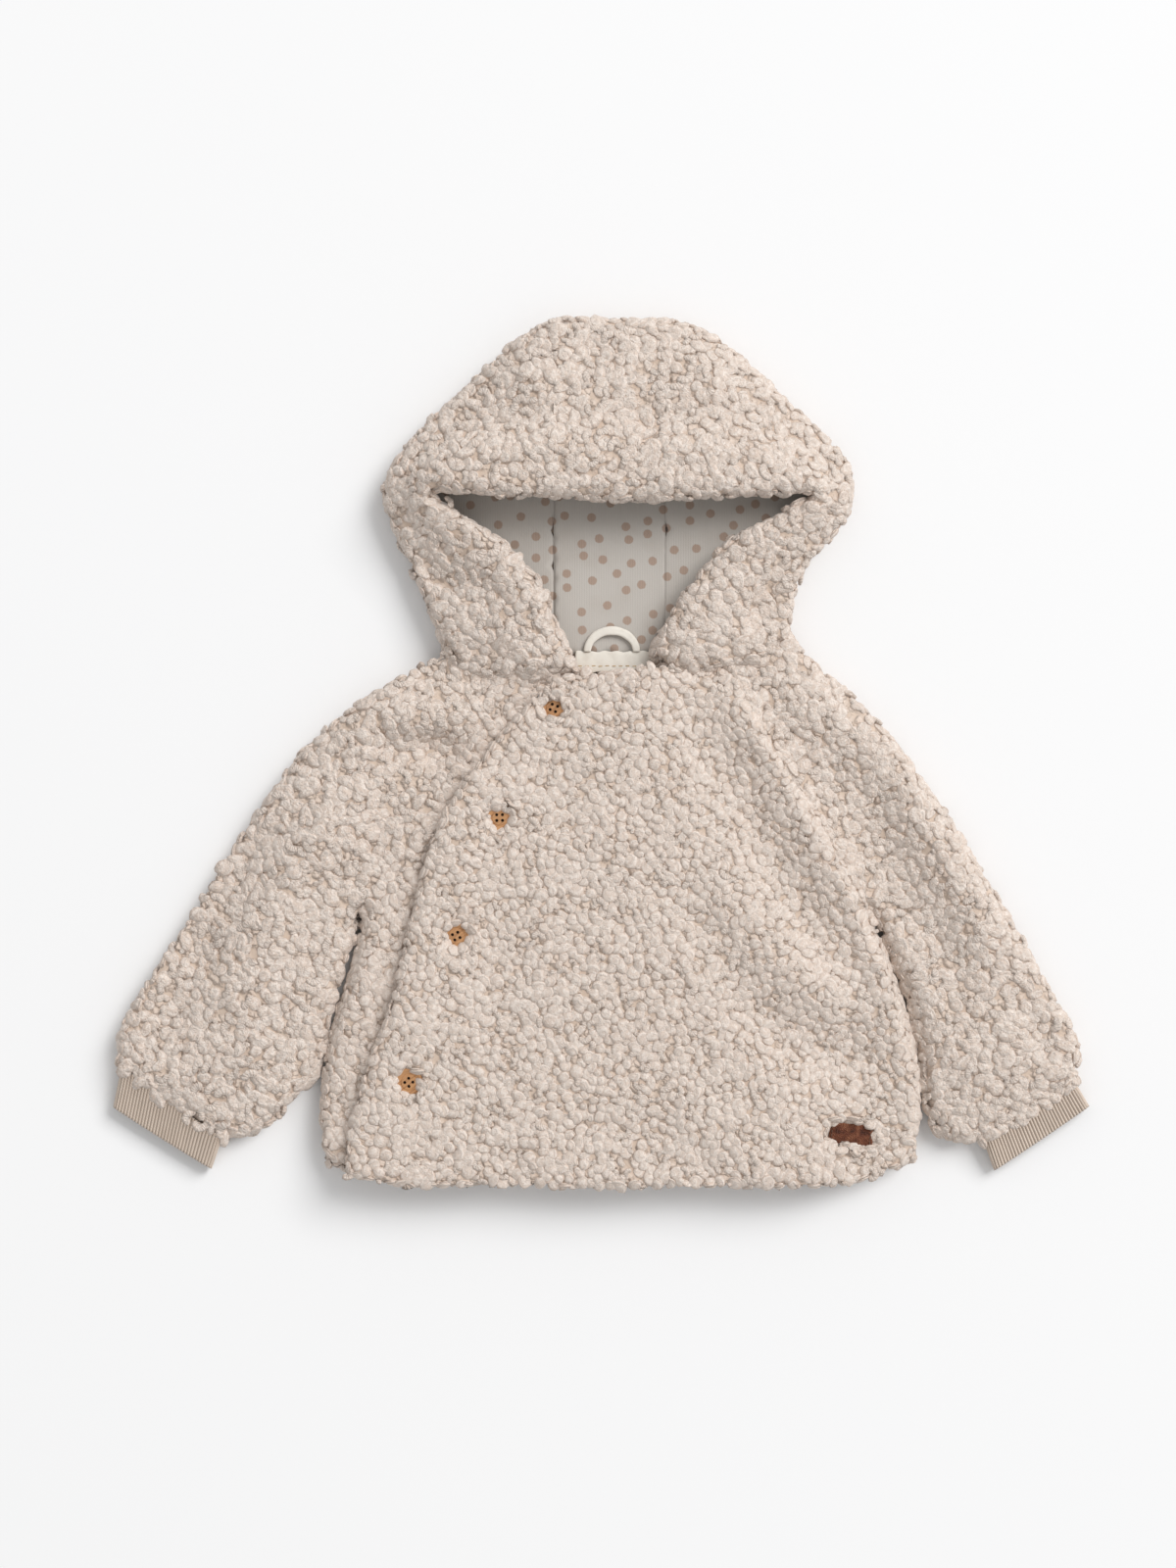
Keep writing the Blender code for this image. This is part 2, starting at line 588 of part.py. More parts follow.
def cut_pockets(front: bpy.types.Object) -> None:
    """Part the pile where the buttons and the label sit on the backing."""
    for number, place in enumerate(BUTTON_PLACES, start=1):
        top = over_height(place.x, place.y)[0]
        bpy.ops.mesh.primitive_cylinder_add(vertices=BUTTON_STEPS, radius=POCKET_RADIUS * MM,
                                            depth=CUTTER_DEPTH * MM)
        cutter = bpy.context.object
        cutter.location = Vector((place.x, place.y, top - POCKET_DEPTH + CUTTER_DEPTH / 2)) * MM
        use_cutter(front, cutter, f"button_pocket_{number}")
    bpy.ops.mesh.primitive_cube_add(size=1.0)
    cutter = bpy.context.object
    cutter.scale = Vector((LABEL_LENGTH + LAYER * 2, LABEL_HEIGHT + LAYER * 2, CUTTER_DEPTH)) * MM
    frame = label_frame(CUTTER_DEPTH / 2 - LABEL_POCKET_DEPTH)
    cutter.location = frame.to_translation()
    cutter.rotation_euler = frame.to_euler()
    use_cutter(front, cutter, "label_pocket")


def use_cutter(target: bpy.types.Object, cutter: bpy.types.Object, name: str) -> None:
    """Hide a cutter and take it out of a piece."""
    cutter.name = name
    for collection in cutter.users_collection:
        collection.objects.unlink(cutter)
    CUTTERS.objects.link(cutter)
    cutter.hide_render = True
    cutter.display_type = "WIRE"
    cut = target.modifiers.new(name, "BOOLEAN")
    cut.operation = "DIFFERENCE"
    cut.solver = "EXACT"
    cut.object = cutter


def label_frame(lift: float) -> Matrix:
    """Place and tilt of the label on the over front, raised by a lift."""
    reach = LABEL_HEIGHT / 2
    centre = over_height(*LABEL_PLACE)[0]
    rise_x = over_height(LABEL_PLACE.x + reach, LABEL_PLACE.y)[0] - centre
    rise_y = over_height(LABEL_PLACE.x, LABEL_PLACE.y + reach)[0] - centre
    up = Vector((-rise_x / reach, -rise_y / reach, 1.0)).normalized()
    along = Vector((math.cos(LABEL_TURN), math.sin(LABEL_TURN), 0.0))
    along = (along - up * along.dot(up)).normalized()
    turn = Matrix((along, up.cross(along), up)).transposed().to_4x4()
    place = Vector((LABEL_PLACE.x, LABEL_PLACE.y, centre)) + up * lift
    return Matrix.Translation(place * MM) @ turn


# ==================================================================== sleeves
def end_values(along: float) -> tuple[float, float]:
    """Half height and wall of a sleeve at a share of its length."""
    for a, b in zip(SLEEVE_END, SLEEVE_END[1:]):
        if along <= b.along:
            share = (along - a.along) / (b.along - a.along)
            return a.radius + (b.radius - a.radius) * share, a.wall + (b.wall - a.wall) * share
    return SLEEVE_END[-1].radius, SLEEVE_END[-1].wall


def sleeve_row(patch: Patch, seam: SideFold, u: float) -> tuple[list, list]:
    """One row of a sleeve: over the front, round the overarm fold, back below.

    Above the underarm the row ends at the front and back raglan seams. Below
    it both ends meet in the underarm seam.
    """
    radius, cloth = end_values(u)
    width = patch.width(u)
    near = seam.stations(u, radius, cloth)
    below = [s._replace(lift=-s.lift, parting=SEAM * (1.0 - s.lift)) for s in near[::2]]
    start, end = near[-1].outer, width - radius
    stations = near + flat_stations(start, end, SLEEVE_COLUMNS, 1.0)
    for k in range(FOLD_STEPS, -FOLD_STEPS - 1, -1):
        angle = QUARTER * k / FOLD_STEPS
        if k >= 0 or k % 2 == 0:
            distance = width - radius * (1.0 - math.cos(angle))
            stations.append(Station(distance, distance - cloth * math.cos(angle), math.sin(angle)))
    stations += flat_stations(start, end, SLEEVE_COLUMNS // 2, -1.0)[::-1] + below[::-1]
    outer, inner = [], []
    for place in stations:
        p, q = patch.at(u, place.outer / width), patch.at(u, place.inner / width)
        rise = 0.0
        if place.lift > 0:
            rise = SLEEVE_PUFF * place.puff + fold_height(SLEEVE_FOLDS, p.x, p.y) * place.lift
        outer_z = SIDE_MID + radius * place.lift + rise * end_fade(u) - place.parting
        inner_z = SIDE_MID + (radius - cloth) * place.lift - place.parting
        outer.append(Vector((p.x, p.y, outer_z)))
        inner.append(Vector((q.x, q.y, inner_z)))
    return outer, inner


def end_fade(u: float) -> float:
    """Puff and folds die away at the neck and at the cuff."""
    at_cuff = smooth((u - CUFF_FADE_START) / (1.0 - CUFF_FADE_START))
    return smooth(u / NECK_FADE) * (1.0 - CUFF_FADE * at_cuff)


def sleeve(name: str, raglan: list, side: list, shoulder: list, overarm: list, corner: list,
           cuff_seam: list, contact_y: float, outward: float) -> None:
    """One raglan sleeve, from the neck and raglan seam to its cuff seam."""
    top = Curve.through(shoulder).reversed().shifted(-outward * SEAM / 2)
    inner_edge = Curve.through(raglan + side[1:]).shifted(outward * SEAM).down_to(contact_y)
    inner_edge = inner_edge.joined(Curve([inner_edge.points[-1]] + [Vector(p) for p in corner[:1]]))
    inner_edge = inner_edge.joined(Curve.through(corner))
    patch = Patch(top, Curve.through(cuff_seam), inner_edge, Curve.through(overarm))
    seam = SideFold(inner_edge, Curve.through(raglan).length)
    full = SLEEVE_END[1].along
    marks = [full * i / SLEEVE_ROWS for i in range(SLEEVE_ROWS + 1)]
    marks += [row.along for row in SLEEVE_END[2:]]
    rows = [sleeve_row(patch, seam, u) for u in marks]
    wall(name, [r[0] for r in rows], [r[1] for r in rows], CREAM_PILE)


def cuff(name: str, seam: list, end: list) -> None:
    """Rib knit cuff: ribs raised over its top, plain inside and below."""
    start, finish = Curve.through(seam), Curve.through(end)
    begin = SEAM / (start.at(0.5) - finish.at(0.5)).length
    outer, inner = [], []
    for along, swell in CUFF_ROWS:
        outer_row, inner_row = cuff_ring(start, finish, begin + (1.0 - begin) * along, swell)
        outer.append(outer_row)
        inner.append(inner_row)
    wall(name, outer, inner, RIB_KNIT, ring=True)


def cuff_ring(start: Curve, finish: Curve, along: float, swell: float) -> tuple[list, list]:
    """One ring of a cuff, from its inner corner over the ribs and back below."""
    radius = CUFF_RADIUS * swell
    inside = CUFF_RADIUS - KNIT + (1.0 - swell)
    middle = SIDE_MID + (CUFF_END_MID - SIDE_MID) * along
    width = start.length + (finish.length - start.length) * along
    arc, flat = QUARTER * radius, width - 2 * radius
    path = 2 * arc + flat
    stations = [(path * k / (2 * CUFF_RIBS), 1.0, CUFF_RIB_HEIGHT * (k % 2))
                for k in range(2 * CUFF_RIBS + 1)]
    stations += [(path * k / CUFF_UNDER_STEPS, -1.0, 0.0)
                 for k in range(CUFF_UNDER_STEPS - 1, 0, -1)]
    outer, inner = [], []
    for distance, side, rib in stations:
        if distance < arc:
            angle = distance / radius
            spot, out = radius, Vector((-math.cos(angle), math.sin(angle)))
        elif distance > arc + flat:
            angle = (path - distance) / radius
            spot, out = width - radius, Vector((math.cos(angle), math.sin(angle)))
        else:
            spot, out = radius + distance - arc, Vector((0.0, 1.0))
        for grid, reach in ((outer, radius - CUFF_RIB_HEIGHT + rib), (inner, inside)):
            share = (spot + out.x * reach) / width
            p = start.at(share).lerp(finish.at(share), along)
            grid.append(Vector((p.x, p.y, middle + side * out.y * reach)))
    return outer, inner


# ======================================================================= hood
class Neck(NamedTuple):
    """Neck seam of a side panel: its two curves and their table ends."""
    front: Curve
    back: Curve
    outline: Vector
    edge: Vector
    end: Vector


class HoodSection:
    """One hairpin of the hood: back on the table, turn, front, rolled edge."""

    def __init__(self, row: HoodRow, radius: float, pull: float, neck: "Neck | None"):
        self.row, self.radius, self.pull, self.neck = row, radius, pull, neck
        self.outline = Vector((row.outline_x, row.outline_y))
        self.edge = Vector((row.edge_x, row.edge_y))
        self.back = Vector((row.back_x, row.back_y))
        self.front_length = (self.edge - self.outline).length
        self.back_length = (self.back - self.outline).length

    def plan(self, distance: float, front: bool) -> Vector:
        """Plan point of the front or back leg at a distance from the outline."""
        length = self.front_length if front else self.back_length
        target = self.edge if front else self.back
        share = distance / length
        point = self.outline.lerp(target, share)
        if self.pull > 0:
            curve = self.neck.front if front else self.neck.back
            straight = self.neck.outline.lerp(self.neck.edge if front else self.neck.end, share)
            point += (curve.at(share) - straight) * self.pull
        return point

    def turn(self, angle: float, offset: float) -> Vector:
        """Point of the fold at the outline, some way in from its outer face."""
        distance = self.radius - (self.radius - offset) * math.cos(angle)
        share = (1.0 + math.sin(angle)) / 2
        p = self.plan(distance, False).lerp(self.plan(distance, True), share)
        return Vector((p.x, p.y, self.radius + (self.radius - offset) * math.sin(angle)))

    def lower(self, share: float, offset: float) -> Vector:
        """Point of the back leg; a share of 1 is its far end."""
        p = self.plan(self.radius + (self.back_length - self.radius) * share, False)
        return Vector((p.x, p.y, offset))

    def upper(self, share: float, offset: float) -> Vector:
        """Point of the front leg; a share of 1 is the top of the rolled edge."""
        nose = self.row.roll / 2
        run = self.front_length - nose - self.radius
        p = self.plan(self.radius + run * share, True)
        top = 2 * self.radius + (self.row.crest - 2 * self.radius) * math.sin(QUARTER * share)
        folds = fold_height(HOOD_FOLDS, p.x, p.y) * smooth((1.0 - share) / ROLL_TOP_SHARE)
        begin = 1.0 - min(ROLL_WIDTH / run, 1.0)
        thick = SHERPA + (self.row.roll - SHERPA) * smooth((share - begin) / (1.0 - begin))
        if offset == 0:
            return Vector((p.x, p.y, top + folds))
        return Vector((p.x, p.y, top - thick - (offset - SHERPA)))

    def nose(self, angle: float, side: float) -> Vector:
        """Point of the round edge, above (side 1) or below (side -1) its tip."""
        nose = self.row.roll / 2
        p = self.plan(self.front_length - nose + nose * math.cos(angle), True)
        return Vector((p.x, p.y, self.row.crest - nose + side * nose * math.sin(angle)))


TURN_ANGLES = [math.radians(a) for a in (-90.0, -60.0, -30.0, 0.0, 30.0, 60.0, 90.0)]
FRONT_SHARES = (0.2, 0.4, 0.6, 0.8, 1.0)
LINING_SHARES = (0.2, 0.4, 0.6, 0.8, 0.96)
SIDE_LOWER_SHARES = (1.0, 0.75, 0.5, 0.25)
CENTRE_LOWER_SHARES = (1.0, 0.83, 0.66, 0.5, 0.33, 0.16)


def hood_row_points(section: HoodSection, offset: float, lower: Sequence[float],
                    with_nose: bool) -> list:
    """One row of hood points at an offset from the outer face."""
    points = [section.lower(share, offset) for share in lower]
    points += [section.turn(angle, offset) for angle in TURN_ANGLES]
    shares = FRONT_SHARES if with_nose else LINING_SHARES
    points += [section.upper(share, offset) for share in shares]
    if with_nose:
        side = 1.0 if offset == 0 else -1.0
        points += [section.nose(math.radians(angle), side) for angle in NOSE_ANGLES]
    return points


def hood_side_sections(rows: Sequence[HoodRow], neck: "Neck", shift: float) -> list[HoodSection]:
    """Sections of a side panel, closer together at the corner and at the neck."""
    sections = []
    last = len(rows) - 1
    for place in HOOD_PLACES:
        index = min(int(place), last - 1)
        ends = [rows[max(index - 1, 0)], rows[index], rows[index + 1], rows[min(index + 2, last)]]
        values = [spline(a, b, c, d, place - index) for a, b, c, d in zip(*ends)]
        near_neck = smooth(1.0 - (last - place) / NECK_PULL_ROWS)
        radius = HOOD_EDGE_RADIUS + (NECK_EDGE_RADIUS - HOOD_EDGE_RADIUS) * near_neck
        row = HoodRow(*values)
        row = row._replace(back_x=row.back_x + shift)
        if place == 0:
            row = row._replace(outline_x=row.outline_x + shift, edge_x=row.edge_x + shift)
        sections.append(HoodSection(row, radius, near_neck, neck))
    return sections


def centre_sections() -> list[HoodSection]:
    """Straight sections of the centre panel, side by side."""
    brim, neck = Curve.through(BRIM_Y), Curve.through(NECK_BACK_MIDDLE)
    sections = []
    for k in range(CENTRE_COLUMNS + 1):
        share = k / CENTRE_COLUMNS
        x = SEAM_RIGHT_X + SEAM / 2 + (SEAM_LEFT_X - SEAM_RIGHT_X - SEAM) * share
        row = HoodRow(x, HOOD_TOP_Y, x, brim.at(share).y, x, neck.at(share).y + SEAM, BRIM_CREST,
                      BRIM_ROLL)
        sections.append(HoodSection(row, HOOD_EDGE_RADIUS, 0.0, None))
    return sections


def hood_pieces() -> None:
    """Three panels of sherpa and three of lining inside them."""
    neck_right = hood_neck(NECK_SHOULDER_RIGHT, NECK_FRONT_RIGHT, NECK_BACK_RIGHT, SEAM / 2)
    neck_left = hood_neck(NECK_SHOULDER_LEFT, NECK_FRONT_LEFT, NECK_BACK_LEFT, -SEAM / 2)
    panels = (("side_right", hood_side_sections(HOOD_RIGHT, neck_right, -SEAM / 2), SIDE_LOWER_SHARES),
              ("centre", centre_sections(), CENTRE_LOWER_SHARES),
              ("side_left", hood_side_sections(HOOD_LEFT, neck_left, SEAM / 2), SIDE_LOWER_SHARES))
    for name, sections, lower in panels:
        outer = [hood_row_points(s, 0.0, lower, True) for s in sections]
        inner = [hood_row_points(s, SHERPA, lower, True) for s in sections]
        wall(f"hood_{name}", outer, inner, CREAM_PILE)
        face = [hood_row_points(s, SHERPA + LAYER, lower, False) for s in sections]
        inside = [hood_row_points(s, SHERPA + LAYER + LINING, lower, False) for s in sections]
        wall(f"hood_lining_{name}", face, inside, JERSEY)


def hood_neck(shoulder: list, front: list, back: list, shift: float) -> Neck:
    """Neck seam of a side panel, on the hood's side of the hairline."""
    start = Curve.through(shoulder)
    return Neck(start.joined(Curve.through(front)).shifted(shift),
                start.joined(Curve.through(back)).shifted(shift),
                Vector(shoulder[0]), Vector(front[-1]), Vector(back[-1]))


# ===================================================================== trims
def button(number: int, place: Point) -> None:
    """Turned wooden button with a dished face and four holes, on the backing."""
    base = over_height(place.x, place.y)[0] - POCKET_DEPTH + LAYER / 2
    rim, floor = BUTTON_THICKNESS, BUTTON_THICKNESS - BUTTON_DISH
    profile = [(0.0, 0.0), (BUTTON_RADIUS - 1.4, 0.0), (BUTTON_RADIUS, 1.1),
               (BUTTON_RADIUS, rim - 0.7), (BUTTON_RADIUS - 0.8, rim),
               (BUTTON_RADIUS - 1.8, rim), (BUTTON_RADIUS - 2.8, floor), (0.0, floor)]
    bm = bmesh.new()
    verts = [bm.verts.new((r, 0.0, z)) for r, z in profile]
    edges = [bm.edges.new(pair) for pair in zip(verts, verts[1:])]
    bmesh.ops.spin(bm, geom=verts + edges, axis=(0, 0, 1), cent=(0, 0, 0), steps=BUTTON_STEPS,
                   angle=math.tau, use_merge=True)
    bmesh.ops.remove_doubles(bm, verts=bm.verts, dist=0.001)
    disc = add_object(f"button_{number}", bm, WOOD, 0.55)
    disc.location = Vector((place.x, place.y, base)) * MM
    disc.rotation_euler = (0.0, 0.0, BUTTON_TURN * number)
    for k in range(4):
        angle = math.tau * k / 4
        bpy.ops.mesh.primitive_cylinder_add(vertices=6, radius=BUTTON_HOLE_RADIUS * MM,
                                            depth=CUTTER_DEPTH * MM)
        hole = bpy.context.object
        hole.parent = disc
        hole.location = Vector((math.cos(angle), math.sin(angle), 0.0)) * BUTTON_HOLE_OFFSET * MM
        use_cutter(disc, hole, f"button_{number}_hole_{k + 1}")


def label() -> None:
    """Bare leather label, sewn down at its two ends."""
    bpy.ops.mesh.primitive_cube_add(size=1.0)
    patch = bpy.context.object
    patch.name = "label_leather"
    patch.data.name = patch.name
    patch.data.transform(Matrix.Diagonal((LABEL_LENGTH * MM, LABEL_HEIGHT * MM,
                                          LABEL_THICKNESS * MM, 1.0)))
    patch.matrix_world = label_frame(LABEL_THICKNESS / 2 + LAYER / 2 - LABEL_POCKET_DEPTH)
    soften = patch.modifiers.new("soft edges", "BEVEL")
    soften.width = TRIM_BEVEL * MM
    soften.segments = 2
    patch.data.materials.append(cloth_material("label_leather", LEATHER, 0.6))
    for collection in patch.users_collection:
        collection.objects.unlink(patch)
    JACKET.objects.link(patch)


def neck_tape() -> None:
    """Narrow cream tape over the back neck seam."""
    base = SHERPA + LAYER + LINING + LAYER / 2
    low = Vector((TAPE_X[0], TAPE_Y[0], base))
    high = Vector((TAPE_X[1], TAPE_Y[1], base + TAPE_THICKNESS))
    bm = bmesh.new()
    size, middle = high - low, (high + low) / 2
    bmesh.ops.create_cube(bm, size=1.0, matrix=Matrix.Translation(middle) @ Matrix.Diagonal((*size, 1.0)))
    tape = add_object("neck_tape", bm, TAPE)
    soften = tape.modifiers.new("soft edges", "BEVEL")
    soften.width = TRIM_BEVEL * MM
    soften.segments = 2


def hanger_loop() -> None:
    """Flat loop of the same cloth that arches up from the neck tape."""
    base = SHERPA + LAYER + LINING + LAYER / 2
    foot = TAPE_Y[1] + SEAM
    rings = []
    for k in range(LOOP_STEPS + 1):
        angle = math.pi * k / LOOP_STEPS
        centre = Vector((LOOP_CENTRE_X - LOOP_HALF_WIDTH * math.cos(angle),
                         foot + LOOP_RISE * math.sin(angle), base + LOOP_THICKNESS / 2))
        across = Vector((-LOOP_RISE * math.cos(angle), LOOP_HALF_WIDTH * math.sin(angle), 0.0))
        across.normalize()
        band = LOOP_BAND * (LOOP_FOOT_SHARE + (1.0 - LOOP_FOOT_SHARE) * math.sin(angle))
        ring = []
        for corner in range(LOOP_SIDES):
            turn = math.tau * (corner + 0.5) / LOOP_SIDES
            offset = across * (band / 2 * math.cos(turn))
            ring.append(centre + offset + Vector((0, 0, LOOP_THICKNESS / 2 * math.sin(turn))))
        rings.append(ring)
    bm = bmesh.new()
    skins = [[bm.verts.new(p) for p in ring] for ring in rings]
    for a, b in zip(skins, skins[1:]):
        for j in range(LOOP_SIDES):
            k = (j + 1) % LOOP_SIDES
            bm.faces.new((a[j], a[k], b[k], b[j]))
    bm.faces.new(skins[0])
    bm.faces.new(skins[-1])
    add_object("hanger_loop", bm, TAPE)


# ======================================================================= main
def clear_scene() -> None:
    for obj in list(bpy.data.objects):
        bpy.data.objects.remove(obj, do_unlink=True)


def new_collection(name: str) -> bpy.types.Collection:
    collection = bpy.data.collections.new(name)
    bpy.context.scene.collection.children.link(collection)
    return collection


clear_scene()
JACKET = new_collection("hooded_sherpa_jacket")
CUTTERS = new_collection("cutters")
UNDER_REACH = Curve.through(HIDDEN_EDGE)

body_pieces()
sleeve("sleeve_left", RAGLAN_LEFT, SIDE_LEFT, NECK_SHOULDER_LEFT, OVERARM_LEFT, INNER_CORNER_LEFT,
       CUFF_SEAM_LEFT, SIDE_CONTACT_LEFT, 1.0)
sleeve("sleeve_right", RAGLAN_RIGHT, SIDE_RIGHT, NECK_SHOULDER_RIGHT, OVERARM_RIGHT,
       INNER_CORNER_RIGHT, CUFF_SEAM_RIGHT, SIDE_CONTACT_RIGHT, -1.0)
cuff("cuff_left", CUFF_SEAM_LEFT, CUFF_END_LEFT)
cuff("cuff_right", CUFF_SEAM_RIGHT, CUFF_END_RIGHT)
hood_pieces()
for count, spot in enumerate(BUTTON_PLACES, start=1):
    button(count, spot)
label()
neck_tape()
hanger_loop()
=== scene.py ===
"""Hooded sherpa jacket, laid flat and face up: its cloth, curls, knit, trim and studio."""
import json
import logging
import math
import random
from dataclasses import dataclass
from enum import Enum
from typing import Callable, NamedTuple, Sequence, Union

import bmesh
import bpy
from bmesh.types import BMesh, BMVert
from bpy.types import ID, Material, Mesh, Node, NodeSocket, NodeTree, Object
from mathutils import Matrix, Vector, noise
from mathutils.bvhtree import BVHTree

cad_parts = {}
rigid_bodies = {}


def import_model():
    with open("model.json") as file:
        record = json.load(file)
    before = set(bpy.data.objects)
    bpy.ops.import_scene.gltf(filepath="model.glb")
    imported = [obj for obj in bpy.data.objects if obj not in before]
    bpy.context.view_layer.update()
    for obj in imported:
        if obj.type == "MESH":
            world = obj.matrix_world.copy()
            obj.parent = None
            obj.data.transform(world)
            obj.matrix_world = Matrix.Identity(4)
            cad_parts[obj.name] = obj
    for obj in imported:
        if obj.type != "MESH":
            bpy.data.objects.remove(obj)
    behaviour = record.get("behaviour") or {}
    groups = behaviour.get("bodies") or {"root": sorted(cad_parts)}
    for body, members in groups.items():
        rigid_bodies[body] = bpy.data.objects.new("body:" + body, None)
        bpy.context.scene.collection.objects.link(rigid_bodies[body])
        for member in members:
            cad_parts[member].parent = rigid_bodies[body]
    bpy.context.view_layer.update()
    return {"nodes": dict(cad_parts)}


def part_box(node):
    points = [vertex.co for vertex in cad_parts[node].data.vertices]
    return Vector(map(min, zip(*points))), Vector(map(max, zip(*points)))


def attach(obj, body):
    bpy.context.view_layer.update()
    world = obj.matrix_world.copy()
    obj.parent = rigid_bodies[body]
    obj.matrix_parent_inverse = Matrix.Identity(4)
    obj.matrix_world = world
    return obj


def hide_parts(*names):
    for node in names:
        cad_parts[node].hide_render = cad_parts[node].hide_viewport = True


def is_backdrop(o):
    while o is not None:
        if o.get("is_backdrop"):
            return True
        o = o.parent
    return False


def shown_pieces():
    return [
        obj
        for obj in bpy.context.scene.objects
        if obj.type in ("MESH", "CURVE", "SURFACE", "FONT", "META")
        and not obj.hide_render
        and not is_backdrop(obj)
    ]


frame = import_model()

log = logging.getLogger("jacket")
logging.basicConfig(level=logging.INFO, format="%(name)s: %(message)s")

MM = 0.001
SCENE = bpy.context.scene
UP = Vector((0.0, 0.0, 1.0))
Colour = tuple[float, float, float]
Number = Union["Value", float]
Socketed = Union["Value", Colour]


# ---- shaders
def operator(operation: str, flipped: bool = False) -> Callable[..., "Value"]:
    """Makes an arithmetic method of Value.

    Args:
        operation: The Math node's operation.
        flipped: True for a reflected form, with the number first.

    Returns:
        The method, which adds one Math node and returns its output.
    """
    def method(self: "Value", other: Number = 0.0) -> "Value":
        """Adds the node."""
        first, second = (other, self) if flipped else (self, other)
        return self.tree.output("ShaderNodeMath", 0, {"operation": operation}, {0: first, 1: second})
    return method


class Value:
    """A socket of a node tree that takes part in plain arithmetic."""

    __add__, __radd__ = operator("ADD"), operator("ADD", True)
    __sub__, __rsub__ = operator("SUBTRACT"), operator("SUBTRACT", True)
    __mul__, __rmul__ = operator("MULTIPLY"), operator("MULTIPLY", True)
    __truediv__, __pow__, __abs__ = operator("DIVIDE"), operator("POWER"), operator("ABSOLUTE")
    __lt__, __gt__ = operator("LESS_THAN"), operator("GREATER_THAN")
    fraction, sine = operator("FRACT"), operator("SINE")

    def __init__(self, tree: "Nodes", socket: NodeSocket) -> None:
        """Wraps one output socket of a tree."""
        self.tree, self.socket = tree, socket

    def wave(self) -> "Value":
        """Sine of an angle in radians, brought to 0 to 1."""
        return self.sine() * 0.5 + 0.5

    def step(self, low: float, high: float) -> "Value":
        """Smooth change from 0 at low to 1 at high; high may be the smaller one."""
        return self.tree.output("ShaderNodeMapRange", 0, {"interpolation_type": "SMOOTHSTEP"},
                                {"Value": self, "From Min": low, "From Max": high})


class Nodes:
    """A node tree that is filled from Python."""

    def __init__(self, tree: NodeTree) -> None:
        """Takes over a tree."""
        self.nodes, self.links = tree.nodes, tree.links

    def node(self, kind: str, settings: dict | None = None, sockets: dict | None = None) -> Node:
        """Adds one node.

        Args:
            kind: The node's type.
            settings: Its properties, set first.
            sockets: Values, or Value links, by socket name or number.

        Returns:
            The node.
        """
        node = self.nodes.new(kind)
        for name, value in (settings or {}).items():
            setattr(node, name, value)
        for name, value in (sockets or {}).items():
            socket = node.inputs[name]
            if isinstance(value, Value):
                self.links.new(value.socket, socket)
            elif socket.type == "RGBA" and len(value) == 3:
                socket.default_value = (*value, 1.0)
            else:
                socket.default_value = value
        return node

    def output(self, kind: str, key: int | str, settings: dict | None = None,
               sockets: dict | None = None) -> Value:
        """One output of a new node, by number or name."""
        return Value(self, self.node(kind, settings, sockets).outputs[key])

    def split(self, vector: Value) -> tuple[Value, ...]:
        """The three numbers of a vector."""
        outputs = self.node("ShaderNodeSeparateXYZ", None, {0: vector}).outputs
        return tuple(Value(self, outputs[k]) for k in range(3))

    def join(self, x: Number, y: Number, z: Number) -> Value:
        """A vector of three numbers."""
        return self.output("ShaderNodeCombineXYZ", 0, None, {0: x, 1: y, 2: z})


